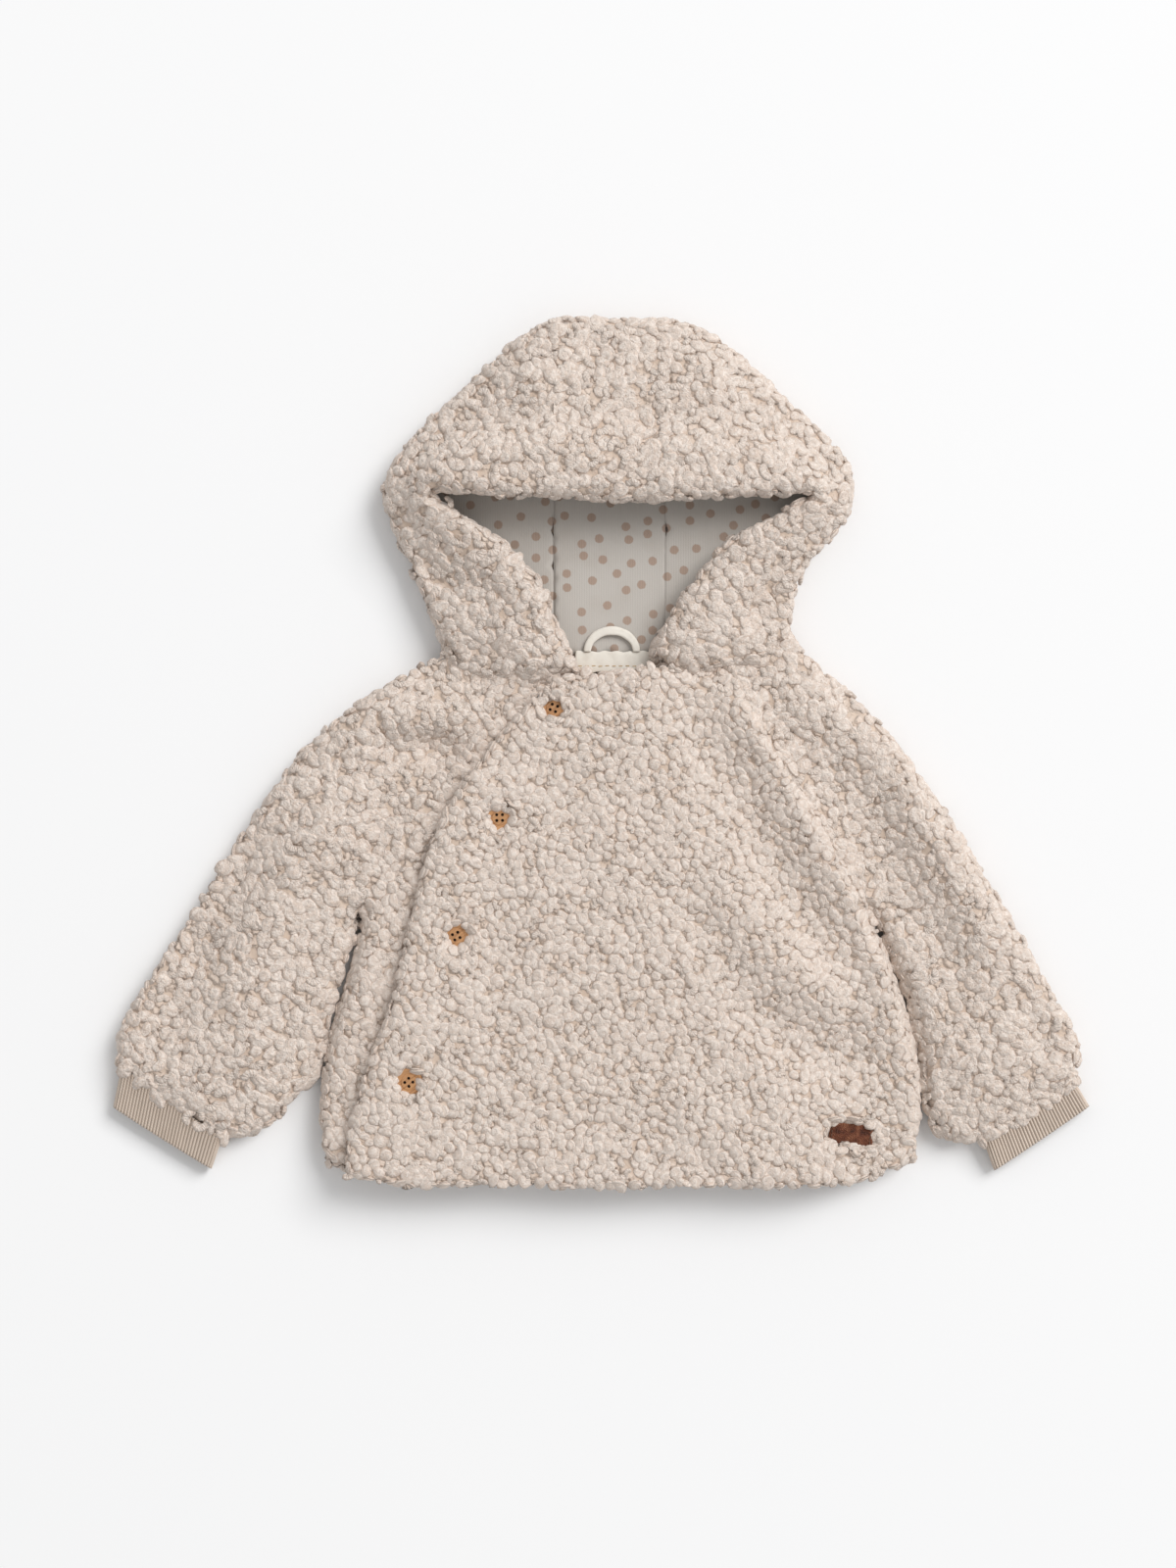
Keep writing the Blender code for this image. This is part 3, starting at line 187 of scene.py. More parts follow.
class Shader(Nodes):
    """The node tree of one material."""

    def __init__(self, name: str) -> None:
        """Starts an empty material."""
        self.material = bpy.data.materials.new(name)
        self.material.use_nodes = True
        self.material.node_tree.nodes.clear()
        super().__init__(self.material.node_tree)

    def place(self) -> Value:
        """Object coordinates, in metres in the jacket's frame."""
        return self.output("ShaderNodeTexCoord", "Object")

    def attribute(self, name: str, part: str = "Fac") -> Value:
        """A number, or with part "Vector" a vector, stored on the mesh."""
        return self.output("ShaderNodeAttribute", part, {"attribute_name": name})

    def strand(self) -> tuple[Value, ...]:
        """The two numbers of a piece's own UV map."""
        return self.split(self.output("ShaderNodeUVMap", 0, {"uv_map": "strand"}))[:2]

    def noise(self, place: Value, scale: float, detail: float = 2.0, rough: float = 0.5) -> Value:
        """Fractal noise from 0 to 1; scale is in lumps a metre, or a unit of the vector."""
        return self.output("ShaderNodeTexNoise", 0, None,
                           {"Vector": place, "Scale": scale, "Detail": detail, "Roughness": rough})

    def cells(self, place: Value, scale: float, scatter: float = 1.0) -> Value:
        """Distance to the nearest of scattered points, in cells."""
        return self.output("ShaderNodeTexVoronoi", "Distance", {"voronoi_dimensions": "2D"},
                           {"Vector": place, "Scale": scale, "Randomness": scatter})

    def mix(self, first: Socketed, second: Socketed, share: Number) -> Value:
        """Colour between two others."""
        return self.output("ShaderNodeMix", 2, {"data_type": "RGBA"}, {0: share, 6: first, 7: second})

    def bump(self, height: Value, distance: float, **normal: Value) -> Value:
        """Normal of a relief that is distance metres high at height 1, on a given Normal if any."""
        return self.output("ShaderNodeBump", 0, None, {"Height": height, "Distance": distance, **normal})

    def soft_normal(self, name: str, share: float) -> Value:
        """Surface normal drawn towards the one stored in a vector attribute.

        Args:
            name: The attribute, in the object's frame.
            share: How far it is drawn, 0 to 1.

        Returns:
            The normal.
        """
        frames = {"vector_type": "NORMAL", "convert_from": "OBJECT", "convert_to": "WORLD"}
        turned = self.output("ShaderNodeVectorTransform", 0, frames, {0: self.attribute(name, "Vector")})
        own = self.output("ShaderNodeNewGeometry", "Normal")
        mixed = self.output("ShaderNodeMix", 1, {"data_type": "VECTOR"}, {0: share, 4: own, 5: turned})
        return self.output("ShaderNodeVectorMath", 0, {"operation": "NORMALIZE"}, {0: mixed})

    def finish(self, colour: Socketed, roughness: Number, **others: object) -> Material:
        """Closes the tree with a Principled surface.

        Args:
            colour: Base colour.
            roughness: Roughness, plain or varied.
            others: Other sockets, by name with underscores: constants, or the Normal of a bump.

        Returns:
            The finished material.
        """
        sockets = {"Base Color": colour, "Roughness": roughness,
                   **{key.replace("_", " "): value for key, value in others.items()}}
        surface = self.output("ShaderNodeBsdfPrincipled", 0, None, sockets)
        self.node("ShaderNodeOutputMaterial", None, {0: surface})
        return self.material


# ---- finishes
@dataclass(frozen=True)
class CurlFinish:
    """Curly wool pile: darker and warmer towards the root as painted shade, pale and silky on top."""
    name: str
    tip: Colour = (0.725, 0.63, 0.56)
    side: Colour = (0.705, 0.60, 0.525)
    root: Colour = (0.685, 0.56, 0.475)
    warm: Colour = (0.72, 0.60, 0.52)
    gap_shade: Colour = (0.56, 0.43, 0.345)
    glint: Colour = (0.80, 0.73, 0.67)
    knot: float = 0.25
    soft: float = 0.35

    def material(self) -> Material:
        """Builds the shader: root to tip colour with painted shade towards the root, a tint for each curl,
        fine fibres with painted shade in their grooves and painted glints.

        Returns:
            The finished material.
        """
        s = Shader(self.name)
        place = s.place()
        rise, tint = s.attribute("rise"), s.attribute("tint")
        u, v = s.strand()
        # painted shade: the curls darken and warm from tip down to root, where they shade each other
        colour = s.mix(self.root, self.side, rise.step(0.28, 0.56))
        colour = s.mix(colour, self.tip, rise.step(0.5, 0.8))
        drift = s.noise(place, 38.0)
        colour = s.mix(colour, self.warm, (tint - 0.35).step(0.0, 0.65) * 0.35 + drift.step(0.5, 0.8) * 0.25)
        mottle = s.noise(place, 1150.0, 2.0, 0.7)
        knots = s.noise(place, 340.0, 2.0, 0.55)
        fibres = ((u + v * 3.6 + tint * 9.0 + (mottle - 0.5) * 1.3) * math.tau).wave()
        # painted shade: darker in the grooves between fibres, in fine specks and at knots
        shade = mottle.step(0.50, 0.62) * 0.35 + fibres.step(0.45, 0.95) * 0.45
        shade += knots.step(0.5, 0.62) * self.knot * 0.35
        colour = s.mix(colour, self.gap_shade, shade * 0.62)
        # painted highlight: lighter on the fibres' crests and in fine specks
        colour = s.mix(colour, self.glint, mottle.step(0.46, 0.36) * 0.5 + fibres.step(0.4, 0.0) * 0.35)
        relief = s.bump(mottle * 0.3 - fibres * 0.35 + knots * (self.knot * 2.2), 0.0008,
                        Normal=s.soft_normal("cloth_normal", self.soft))
        return s.finish(colour, 0.75, Normal=relief, Sheen_Weight=0.3, Sheen_Roughness=0.45,
                        Sheen_Tint=(1.0, 0.94, 0.88, 1.0), Specular_IOR_Level=0.2)


@dataclass(frozen=True)
class BackingFinish:
    """Matted lower wool between the curls, and the backing under it."""
    name: str
    light: Colour = (0.70, 0.585, 0.50)
    dark: Colour = (0.61, 0.49, 0.40)
    lump: float = 4.4

    def material(self) -> Material:
        """Builds the shader: low lumps of wool with painted shade in the lower lines between them.

        Returns:
            The finished material.
        """
        s = Shader(self.name)
        place = s.place()
        x, y, z = s.split(place)
        bend = (s.noise(place, 260.0) - 0.5) * 0.004
        cell = s.cells(s.join(x + bend, y - bend, z), 1000.0 / self.lump)
        mat = s.noise(place, 700.0, 3.0, 0.65)
        high = (cell + mat * 0.25).step(0.85, 0.2)
        # painted shade: the dark colour fills the low lines between the lumps
        return s.finish(s.mix(self.dark, self.light, high), 0.9, Normal=s.bump(high + mat * 0.15, 0.0016),
                        Sheen_Weight=0.3, Sheen_Roughness=0.5, Specular_IOR_Level=0.2)


@dataclass(frozen=True)
class JerseyFinish:
    """Fine off-white jersey, its ground darkened as painted shade of the hood, with a loose scatter of round
    tan dots; sizes in mm.
    """
    name: str
    shaded_ground: Colour = (0.51, 0.475, 0.435)
    soiled: Colour = (0.465, 0.42, 0.375)
    dot: Colour = (0.37, 0.265, 0.205)
    dot_radius: float = 2.35
    dot_spacing: float = 12.2
    scatter: float = 0.55
    wale: float = 0.9

    def material(self) -> Material:
        """Builds the shader: dots, knitted wales and slight soiling.

        Returns:
            The finished material.
        """
        s = Shader(self.name)
        place = s.place()
        x, y, _ = s.split(place)
        plan = s.join(x * 0.94 + y * 0.34, y * 0.94 - x * 0.34, 0.0)
        cell = s.cells(plan, 1000.0 / self.dot_spacing, self.scatter)
        reach = self.dot_radius / self.dot_spacing
        mask = (cell + s.noise(place, 900.0, 1.0) * 0.05).step(reach + 0.055, reach + 0.005)
        wave = math.tau / (self.wale * MM)
        knit = (x * wave + (y * wave * 0.8).sine() * 0.6).wave()
        # painted shade: the ground is darker than the jersey's own off-white, for the hood's shade over it
        colour = s.mix(self.shaded_ground, self.soiled, s.noise(place, 60.0).step(0.45, 0.75) * 0.5)
        colour = s.mix(colour, self.dot, mask * (knit * 0.12 + 0.84))
        fine = s.noise(place, 1900.0, 1.0)
        return s.finish(colour, 0.85, Normal=s.bump(knit * 0.6 + fine * 0.5, 0.00012), Sheen_Weight=0.2,
                        Sheen_Roughness=0.5, Specular_IOR_Level=0.3)


@dataclass(frozen=True)
class RibFinish:
    """Taupe rib knit: columns of small V stitches, each stitch mm long, with painted shade between the ribs.
    """
    name: str
    crown: Colour = (0.66, 0.55, 0.46)
    groove: Colour = (0.30, 0.225, 0.17)
    lit: Colour = (0.66, 0.56, 0.47)
    soiled: Colour = (0.42, 0.33, 0.26)
    stitch: float = 1.35

    def material(self) -> Material:
        """Builds the shader from the cuff's map: u counts ribs and v is in mm.

        Returns:
            The finished material.
        """
        s = Shader(self.name)
        place = s.place()
        u, v = s.strand()
        across = abs(u.fraction() - 0.5) * 2.0
        stitch = ((v / self.stitch - across * 0.55) * math.tau).wave()
        yarn = s.noise(place, 1700.0, 2.0, 0.6)
        # painted shade: darker towards each rib's edges, in the grooves between ribs
        colour = s.mix(self.crown, self.groove, across.step(0.55, 1.0) * 0.85)
        # painted highlight: the lit colour on the stitches' raised crests
        colour = s.mix(colour, self.lit, (stitch * yarn).step(0.3, 0.8) * 0.45)
        colour = s.mix(colour, self.soiled, s.noise(place, 90.0).step(0.5, 0.8) * 0.3)
        return s.finish(colour, 0.85, Normal=s.bump(stitch * 0.6 + yarn * 0.6, 0.0003), Sheen_Weight=0.3,
                        Sheen_Roughness=0.45, Specular_IOR_Level=0.3)


@dataclass(frozen=True)
class TapeFinish:
    """Cream binding cloth of the neck tape and its loop."""
    name: str
    colour: Colour = (0.80, 0.755, 0.68)
    soiled: Colour = (0.66, 0.60, 0.52)

    def material(self) -> Material:
        """Builds the shader: a fine knit with slight unevenness.

        Returns:
            The finished material.
        """
        s = Shader(self.name)
        place = s.place()
        x, y, _ = s.split(place)
        wave = math.tau / (0.8 * MM)
        knit = (x * wave).sine() * (y * wave).sine() * 0.5 + 0.5
        colour = s.mix(self.colour, self.soiled, s.noise(place, 160.0, 3.0).step(0.45, 0.75) * 0.5)
        relief = s.bump(knit * 0.6 + s.noise(place, 2000.0) * 0.7, 0.00015)
        return s.finish(colour, 0.85, Normal=relief, Sheen_Weight=0.25, Sheen_Roughness=0.5,
                        Specular_IOR_Level=0.3)


@dataclass(frozen=True)
class WoodFinish:
    """Turned light wood, tan with long grain, matt oiled."""
    name: str
    pale: Colour = (0.50, 0.265, 0.12)
    dark: Colour = (0.22, 0.09, 0.035)

    def material(self) -> Material:
        """Builds the shader: grain along a slanting direction, with pores.

        Returns:
            The finished material.
        """
        s = Shader(self.name)
        x, y, z = s.split(s.place())
        along, across = x * 0.8 + y * 0.6, y * 0.8 - x * 0.6
        grain = s.noise(s.join(along * 60.0, across * 900.0, z * 400.0), 1.0, 3.0, 0.6)
        pores = s.noise(s.join(along * 300.0, across * 3600.0, z * 900.0), 1.0)
        colour = s.mix(self.pale, self.dark, grain.step(0.42, 0.72) * 0.75)
        colour = s.mix(colour, self.dark, pores.step(0.62, 0.8) * 0.5)
        return s.finish(colour, 0.5 + grain * 0.12, Normal=s.bump(pores + grain, 0.00008),
                        Specular_IOR_Level=0.4)


@dataclass(frozen=True)
class LeatherFinish:
    """Dark brown leather, bare, with fine grain and lighter worn edges."""
    name: str
    colour: Colour = (0.15, 0.048, 0.024)
    worn: Colour = (0.28, 0.115, 0.06)
    deep: Colour = (0.06, 0.022, 0.014)

    def material(self) -> Material:
        """Builds the shader: pebbled grain with scuffs.

        Returns:
            The finished material.
        """
        s = Shader(self.name)
        place = s.place()
        pebble = s.cells(place, 1500.0)
        scuff = s.noise(place, 260.0, 3.0, 0.6)
        colour = s.mix(self.colour, self.worn, scuff.step(0.46, 0.66) * 0.8)
        colour = s.mix(colour, self.deep, scuff.step(0.46, 0.32) * 0.8 + pebble.step(0.3, 0.05) * 0.4)
        colour = s.mix(colour, self.worn, s.attribute("rim") * 0.4)
        return s.finish(colour, 0.5 + scuff * 0.2, Normal=s.bump(pebble + scuff * 1.2, 0.0005),
                        Specular_IOR_Level=0.25)


@dataclass(frozen=True)
class ThreadFinish:
    """Twisted sewing thread."""
    name: str
    colour: Colour

    def material(self) -> Material:
        """Builds the shader: two plies that wind round each other.

        Returns:
            The finished material.
        """
        s = Shader(self.name)
        place = s.place()
        x, y, z = s.split(place)
        ply = ((x + y + z) * (math.tau / (0.45 * MM))).wave()
        fuzz = s.noise(place, 3000.0, 1.0)
        # painted shade: the thread darkens in the grooves between its plies
        dark = tuple(c * 0.6 for c in self.colour)
        return s.finish(s.mix(dark, self.colour, ply * 0.7 + fuzz * 0.3), 0.7,
                        Normal=s.bump(ply + fuzz * 0.4, 0.00006), Sheen_Weight=0.2, Sheen_Roughness=0.4)


@dataclass(frozen=True)
class FloorFinish:
    """Plain white studio table."""
    name: str
    colour: Colour = (0.875, 0.875, 0.875)
    second: Colour = (0.87, 0.87, 0.875)

    def material(self) -> Material:
        """Builds the shader: almost even white, with a trace of tone.

        Returns:
            The finished material.
        """
        s = Shader(self.name)
        colour = s.mix(self.colour, self.second, s.noise(s.place(), 3.0, 1.0))
        return s.finish(colour, 0.8, Specular_IOR_Level=0.0)


# ---- cloth pieces
class Side(Enum):
    """The side of the jacket that a crease is on."""
    FRONT = 1
    UNDER = -1


class Crease(NamedTuple):
    """Soft trough (negative depth) or ridge from one plan point to another, in mm."""
    x0: float
    y0: float
    x1: float
    y1: float
    depth: float
    width: float
    side: Side


class Cut(NamedTuple):
    """Flat size of a cut piece, in mm, and the share of that rectangle that is cloth."""
    width: float
    length: float
    share: float


def creases(*rows: tuple[float, ...], side: Side = Side.FRONT) -> tuple[Crease, ...]:
    """Creases on one side; the columns are x0, y0, x1, y1, depth and width."""
    return tuple(Crease(*row, side) for row in rows)


def crease_height(folds: Sequence[Crease], x: float, y: float, side: Side) -> float:
    """Summed height of the creases at a plan point, all in mm.

    Args:
        folds: The creases of the piece.
        x: Plan place across.
        y: Plan place along.
        side: The side of the jacket that is asked for.

    Returns:
        Height above the plain cloth.
    """
    total = 0.0
    for c in folds:
        if c.side is not side:
            continue
        dx, dy = c.x1 - c.x0, c.y1 - c.y0
        t = ((x - c.x0) * dx + (y - c.y0) * dy) / math.hypot(dx, dy) ** 2
        along = min(max(t, 0.0), 1.0)
        off = math.hypot(x - c.x0 - along * dx, y - c.y0 - along * dy) / c.width
        if off < 3.0:
            fade = math.sin(math.pi * min(max(t * 0.86 + 0.07, 0.0), 1.0)) ** 0.6
            total += c.depth * math.exp(-off * off) * fade
    return total


class Exposure:
    """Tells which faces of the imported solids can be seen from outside."""

    REACH = 0.12
    CONE = ((0.0, 1, 0.0), (42.0, 6, 0.0), (66.0, 6, 0.5))    # lean in degrees, rays round it, first turn

    def __init__(self) -> None:
        """Collects every solid's triangles in one search tree."""
        points: list[Vector] = []
        faces: list[tuple[int, ...]] = []
        for node in frame["nodes"].values():
            start = len(points)
            points.extend(v.co.copy() for v in node.data.vertices)
            faces.extend(tuple(start + k for k in p.vertices) for p in node.data.polygons)
        self.tree = BVHTree.FromPolygons(points, faces)

    def open(self, centre: Vector, normal: Vector) -> bool:
        """Tells whether a face of a solid can be seen from outside.

        Args:
            centre: Middle of a face.
            normal: Its normal.

        Returns:
            True if some direction round the normal leads out past every solid.
        """
        side = normal.orthogonal().normalized()
        other = normal.cross(side)
        start = centre + normal * 0.0006
        for lean, count, first in self.CONE:
            angle = math.radians(lean)
            for k in range(count):
                turn = math.tau * (k + first) / count
                spread = side * math.cos(turn) + other * math.sin(turn)
                way = normal * math.cos(angle) + spread * math.sin(angle)
                if self.tree.ray_cast(start, way, self.REACH)[0] is None:
                    return True
        return False


def refine(bm: BMesh, longest: float, layer: object = None) -> None:
    """Halves long edges until none is longer.

    Args:
        bm: The mesh.
        longest: Greatest length that may stay, in metres.
        layer: Face mask; if it is given, only edges of marked faces are halved.
    """
    for _ in range(6):
        edges = [e for e in bm.edges if e.calc_length() > longest
                 and (layer is None or any(f[layer] > 0.5 for f in e.link_faces))]
        if not edges:
            return
        bmesh.ops.subdivide_edges(bm, edges=edges, cuts=1)
        bmesh.ops.triangulate(bm, faces=[f for f in bm.faces if len(f.verts) > 3])


def soften(bm: BMesh, verts: Sequence[BMVert], factor: float, times: int) -> None:
    """Smooths points towards their neighbours."""
    for _ in range(times):
        bmesh.ops.smooth_vert(bm, verts=verts, factor=factor, use_axis_x=True, use_axis_y=True,
                              use_axis_z=True)


def skin(bm: BMesh, rings: Sequence[list[BMVert]], ends: bool = True, uv: object = None,
         pitch: tuple[float, float] = (1.0, 1.0)) -> None:
    """Joins rings of points to a tube.

    Args:
        bm: The mesh that the points are in.
        rings: The rings, each with the same number of points.
        ends: Closes the first and the last ring.
        uv: Layer for a strand map, if one is wanted.
        pitch: Points to a unit of u, and units of v to a ring.
    """
    for k, (low, high) in enumerate(zip(rings, rings[1:])):
        for j in range(len(low)):
            n = (j + 1) % len(low)
            face = bm.faces.new((low[j], low[n], high[n], high[j]))
            if uv is not None:
                for loop, (du, dv) in zip(face.loops, ((0, 0), (1, 0), (1, 1), (0, 1))):
                    loop[uv].uv = ((j + du) / pitch[0], (k + dv) * pitch[1])
    if ends:
        bm.faces.new(list(reversed(rings[0])))
        bm.faces.new(rings[-1])


def round_end(share: float, straight: float, square: float, least: float = 0.02) -> float:
    """Thickness of a strand with round ends at a share of its length, 1 in the middle."""
    return math.sqrt(max(1.0 - max(abs(share - 0.5) - straight, 0.0) ** 2 / square, least))


def bulge(value: float, power: float) -> float:
    """A signed power, which makes a round section squarer."""
    return math.copysign(abs(value) ** power, value)


def mesh_from(name: str, bm: BMesh) -> Mesh:
    """Writes a bmesh to a new smooth mesh and frees it.

    Args:
        name: Name of the mesh.
        bm: What it holds.

    Returns:
        The mesh.
    """
    mesh = bpy.data.meshes.new(name)
    bm.to_mesh(mesh)
    bm.free()
    mesh.polygons.foreach_set("use_smooth", [True] * len(mesh.polygons))
    mesh.update()
    return mesh


def linked(name: str, data: ID) -> Object:
    """A new object in the scene."""
    item = bpy.data.objects.new(name, data)
    SCENE.collection.objects.link(item)
    return item


def seat(name: str) -> Vector:
    """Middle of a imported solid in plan, at the height of its lowest point, in mm."""
    low, high = (Vector(corner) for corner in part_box(name))
    middle = (low + high) / 2
    return Vector((middle.x, middle.y, low.z)) / MM


def evaluated(item: Object) -> Mesh:
    """A new mesh of an object with its modifiers applied."""
    graph = bpy.context.evaluated_depsgraph_get()
    return bpy.data.meshes.new_from_object(item.evaluated_get(graph), depsgraph=graph)


def add_piece(name: str, mesh: Mesh, material: Material, stands_for: str = "") -> Object:
    """Adds a finished mesh as a piece of the jacket.

    Args:
        name: Name of the piece.
        mesh: Its mesh, in metres in the jacket's frame.
        material: Its finish.
        stands_for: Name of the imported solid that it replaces, if it does.

    Returns:
        The new object, riding on the jacket.
    """
    mesh.name = name
    mesh.materials.clear()
    mesh.materials.append(material)
    piece = linked(name, mesh)
    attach(piece, "root")
    if stands_for:
        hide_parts(stands_for)
    log.info("%s: %d faces", name, len(mesh.polygons))
    return piece


@dataclass
class SherpaPanel:
    """Backing cloth of one cut piece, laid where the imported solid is; sizes in mm."""
    node: str
    cut: Cut
    folds: Sequence[Crease]
    inset: float = 2.3
    overlap: float = 1.1
    coarse: float = 13.0
    edge: float = 9.0
    swell: float = 0.9

    def build(self, exposure: Exposure) -> Mesh:
        """Builds the backing: refined, softened, creased and drawn in below its curls.

        Args:
            exposure: Test of what shows.

        Returns:
            A mesh with the face masks curl_top and curl_under, and the point value curl_size.
        """
        bm = bmesh.new()
        bm.from_mesh(frame["nodes"][self.node].data)
        bmesh.ops.remove_doubles(bm, verts=bm.verts, dist=2e-5)
        refine(bm, self.coarse * MM)
        shows = bm.faces.layers.float.new("curl_top")
        below = bm.faces.layers.float.new("curl_under")
        bm.normal_update()
        for face in bm.faces:
            face[shows] = float(exposure.open(face.calc_center_median(), face.normal))
        refine(bm, self.edge * MM, shows)
        soften(bm, [v for v in bm.verts if all(f[shows] > 0.5 for f in v.link_faces)], 0.5, 3)
        bm.normal_update()
        moves = [self.move(v, shows) for v in bm.verts]
        for vert, move in zip(bm.verts, moves):
            vert.co += move
        bm.normal_update()
        size = bm.verts.layers.float.new("curl_size")
        for vert in bm.verts:
            vert[size] = 1.0 + (noise.noise(vert.co * 55.0) * 0.16 + noise.noise(vert.co * 140.0) * 0.12)
        for face in bm.faces:
            if face[shows] > 0.5 and face.normal.z < -0.5:
                face[shows], face[below] = 0.0, 1.0
        return mesh_from(self.node + "_cloth", bm)

    def move(self, vert: BMVert, shows: object) -> Vector:
        """How far one point of the solid's surface moves to lie on the backing.

        Args:
            vert: The point.
            shows: Face mask of what is seen.

        Returns:
            The move, in metres.
        """
        out = Vector((0.0, 0.0, 0.0))
        for face in vert.link_faces:
            out += face.normal * (face.calc_area() * face[shows])
        if out.length < 1e-12:
            return out
        out.normalize()
        rim = Vector((0.0, 0.0, 0.0))
        for face in vert.link_faces:
            if face[shows] < 0.5 and abs(face.normal.z) < 0.6:
                rim += Vector((face.normal.x, face.normal.y, 0.0))
        rim = rim.normalized() * self.overlap if rim.length > 0.2 else rim * 0.0
        x, y = vert.co.x / MM, vert.co.y / MM
        lift = 0.0
        if out.z > 0.15:
            lift = crease_height(self.folds, x, y, Side.FRONT) * out.z
            lift += self.swell * (noise.noise(vert.co * 24.0) + 0.7 * noise.noise(vert.co * 62.0)) * out.z
        elif out.z < -0.15:
            lift = max(-crease_height(self.folds, x, y, Side.UNDER), 0.0)
        if rim.length:
            way = rim.normalized()
            out = (out - way * out.dot(way)).normalized()
        return (out * -self.inset + rim + UP * lift) * MM


# ---- curls
def height_share(z: float, span: float) -> float:
    """Share of a curl's height that z mm above the cloth is, from 0 to 1."""
    return min(max((z + 0.9) / span, 0.0), 1.0)


@dataclass(frozen=True)
class CurlShape:
    """A strand of wool wound up on itself, in mm."""
    turns: float
    first: float
    last: float
    rise: float
    strand: float
    tip: float
    tilt: float
    base: float

    def centre(self, s: float, jitter: Sequence[float]) -> Vector:
        """Middle of the strand at share s of its length.

        Args:
            s: Share of the length.
            jitter: Three angles that make each curl a little different.

        Returns:
            The point, in mm.
        """
        angle = math.tau * self.turns * s + jitter[0]
        radius = self.first + (self.last - self.first) * s ** 0.9
        radius *= 1.0 + 0.14 * math.sin(angle * 1.7 + jitter[1])
        point = Vector((radius * math.cos(angle), radius * math.sin(angle) * 0.92,
                        self.rise * s ** 0.8 + 0.25 * math.sin(angle * 1.3 + jitter[2])))
        return Matrix.Rotation(math.radians(self.tilt), 3, "X") @ point + UP * self.base

    def way(self, s: float, jitter: Sequence[float]) -> Vector:
        """Direction of the strand at share s of its length."""
        low, high = (s - 0.02, s + 0.02) if 0.02 < s < 0.98 else (max(s - 0.04, 0.0), min(s + 0.04, 1.0))
        return (self.centre(high, jitter) - self.centre(low, jitter)).normalized()

    def mesh(self, name: str, rings: int, sides: int, seed: int) -> Mesh:
        """Sweeps the strand.

        Args:
            name: Name of the mesh.
            rings: Cross-sections along the strand.
            sides: Points round it.
            seed: Seed of its small irregularities.

        Returns:
            A closed mesh with a strand map and the point value rise.
        """
        dice = random.Random(seed)
        jitter = [dice.uniform(0.0, math.tau) for _ in range(3)]
        bm = bmesh.new()
        rise = bm.verts.layers.float.new("rise")
        uv = bm.loops.layers.uv.new("strand")
        skins = []
        for k in range(rings):
            s = k / (rings - 1)
            centre, way = self.centre(s, jitter), self.way(s, jitter)
            side = way.cross(UP).normalized()
            up = side.cross(way)
            thick = self.strand * (1.0 - (1.0 - self.tip) * s) * round_end(s, 0.36, 0.0208)
            thick *= dice.uniform(0.9, 1.1)
            ring = []
            for j in range(sides):
                turn = math.tau * j / sides
                out = side * math.cos(turn) + up * math.sin(turn)
                point = centre + out * (thick * dice.uniform(0.9, 1.1))
                ring.append(bm.verts.new(point * MM))
                ring[-1][rise] = height_share(point.z, 5.2)
            skins.append(ring)
        skin(bm, skins, uv=uv, pitch=(sides, 2.4 / rings))
        bmesh.ops.recalc_face_normals(bm, faces=bm.faces)
        return mesh_from(name, bm)


@dataclass(frozen=True)
class TuftShape:
    """A rounded lump of wool with a whorl of fibres, half sizes in mm."""
    wide: float
    long: float
    high: float
    bend: float = 0.0
    base: float = 0.7

    def mesh(self, name: str, rings: int, sides: int, seed: int) -> Mesh:
        """Shapes a small ball.

        Args:
            name: Name of the mesh.
            rings: Cross-sections; a tuft with fewer than 8 is made coarse.
            sides: Not used: the shared call gives it for strands.
            seed: Seed of its small irregularities.

        Returns:
            A closed mesh with a strand map and the point value rise.
        """
        drift = Vector((seed * 0.37, seed * 0.91, seed * 0.13))
        bm = bmesh.new()
        rise = bm.verts.layers.float.new("rise")
        uv = bm.loops.layers.uv.new("strand")
        if rings < 8:
            bmesh.ops.create_uvsphere(bm, u_segments=6, v_segments=5, radius=1.0)
        else:
            bmesh.ops.create_icosphere(bm, subdivisions=2, radius=1.0)
        tip, slant = Vector((0.35, 0.2, 0.9)).normalized(), Vector((0.0, 1.0, -0.22))
        for face in bm.faces:
            turns = [math.atan2(loop.vert.co.dot(slant), loop.vert.co.x) / math.tau for loop in face.loops]
            for loop, turn in zip(face.loops, turns):
                turn += 1.0 if max(turns) - turn > 0.5 else 0.0
                rake = max(min(loop.vert.co.normalized().dot(tip), 1.0), -1.0)
                loop[uv].uv = (turn, math.acos(rake) / math.pi)
        for vert in bm.verts:
            way = vert.co.normalized()
            lump = 1.0 + 0.16 * noise.noise(way * 1.3 + drift) + 0.12 * noise.noise(way * 2.9 - drift)
            point = Vector((way.x * self.wide, way.y * self.long, way.z * self.high)) * lump
            point.x += self.bend * (way.y ** 2 - 0.4)
            point.z += self.base
            vert.co = point * MM
            vert[rise] = height_share(point.z, 4.6)
        return mesh_from(name, bm)


class CurlKind(Enum):
    """The shapes of the curls of one part of the jacket."""
    SMALL_ROUND = (TuftShape(3.3, 3.7, 2.5), TuftShape(2.9, 4.2, 2.5, 0.9), TuftShape(3.7, 3.8, 2.4, 0.4),
                   TuftShape(2.7, 3.3, 2.8), CurlShape(0.62, 2.20, 1.90, 0.60, 1.85, 0.85, 6.0, 1.0))
    LOOSE_LOOP = (TuftShape(4.1, 4.7, 3.0, 0.5), TuftShape(3.0, 4.9, 3.1, 1.3), TuftShape(4.4, 4.5, 2.9),
                  TuftShape(3.3, 3.8, 3.3), TuftShape(3.5, 5.6, 2.9, -1.5),
                  CurlShape(0.50, 3.00, 2.40, 0.90, 2.20, 0.80, 8.0, 1.3),
                  CurlShape(0.42, 3.40, 2.60, 0.60, 2.40, 0.80, 14.0, 1.2))


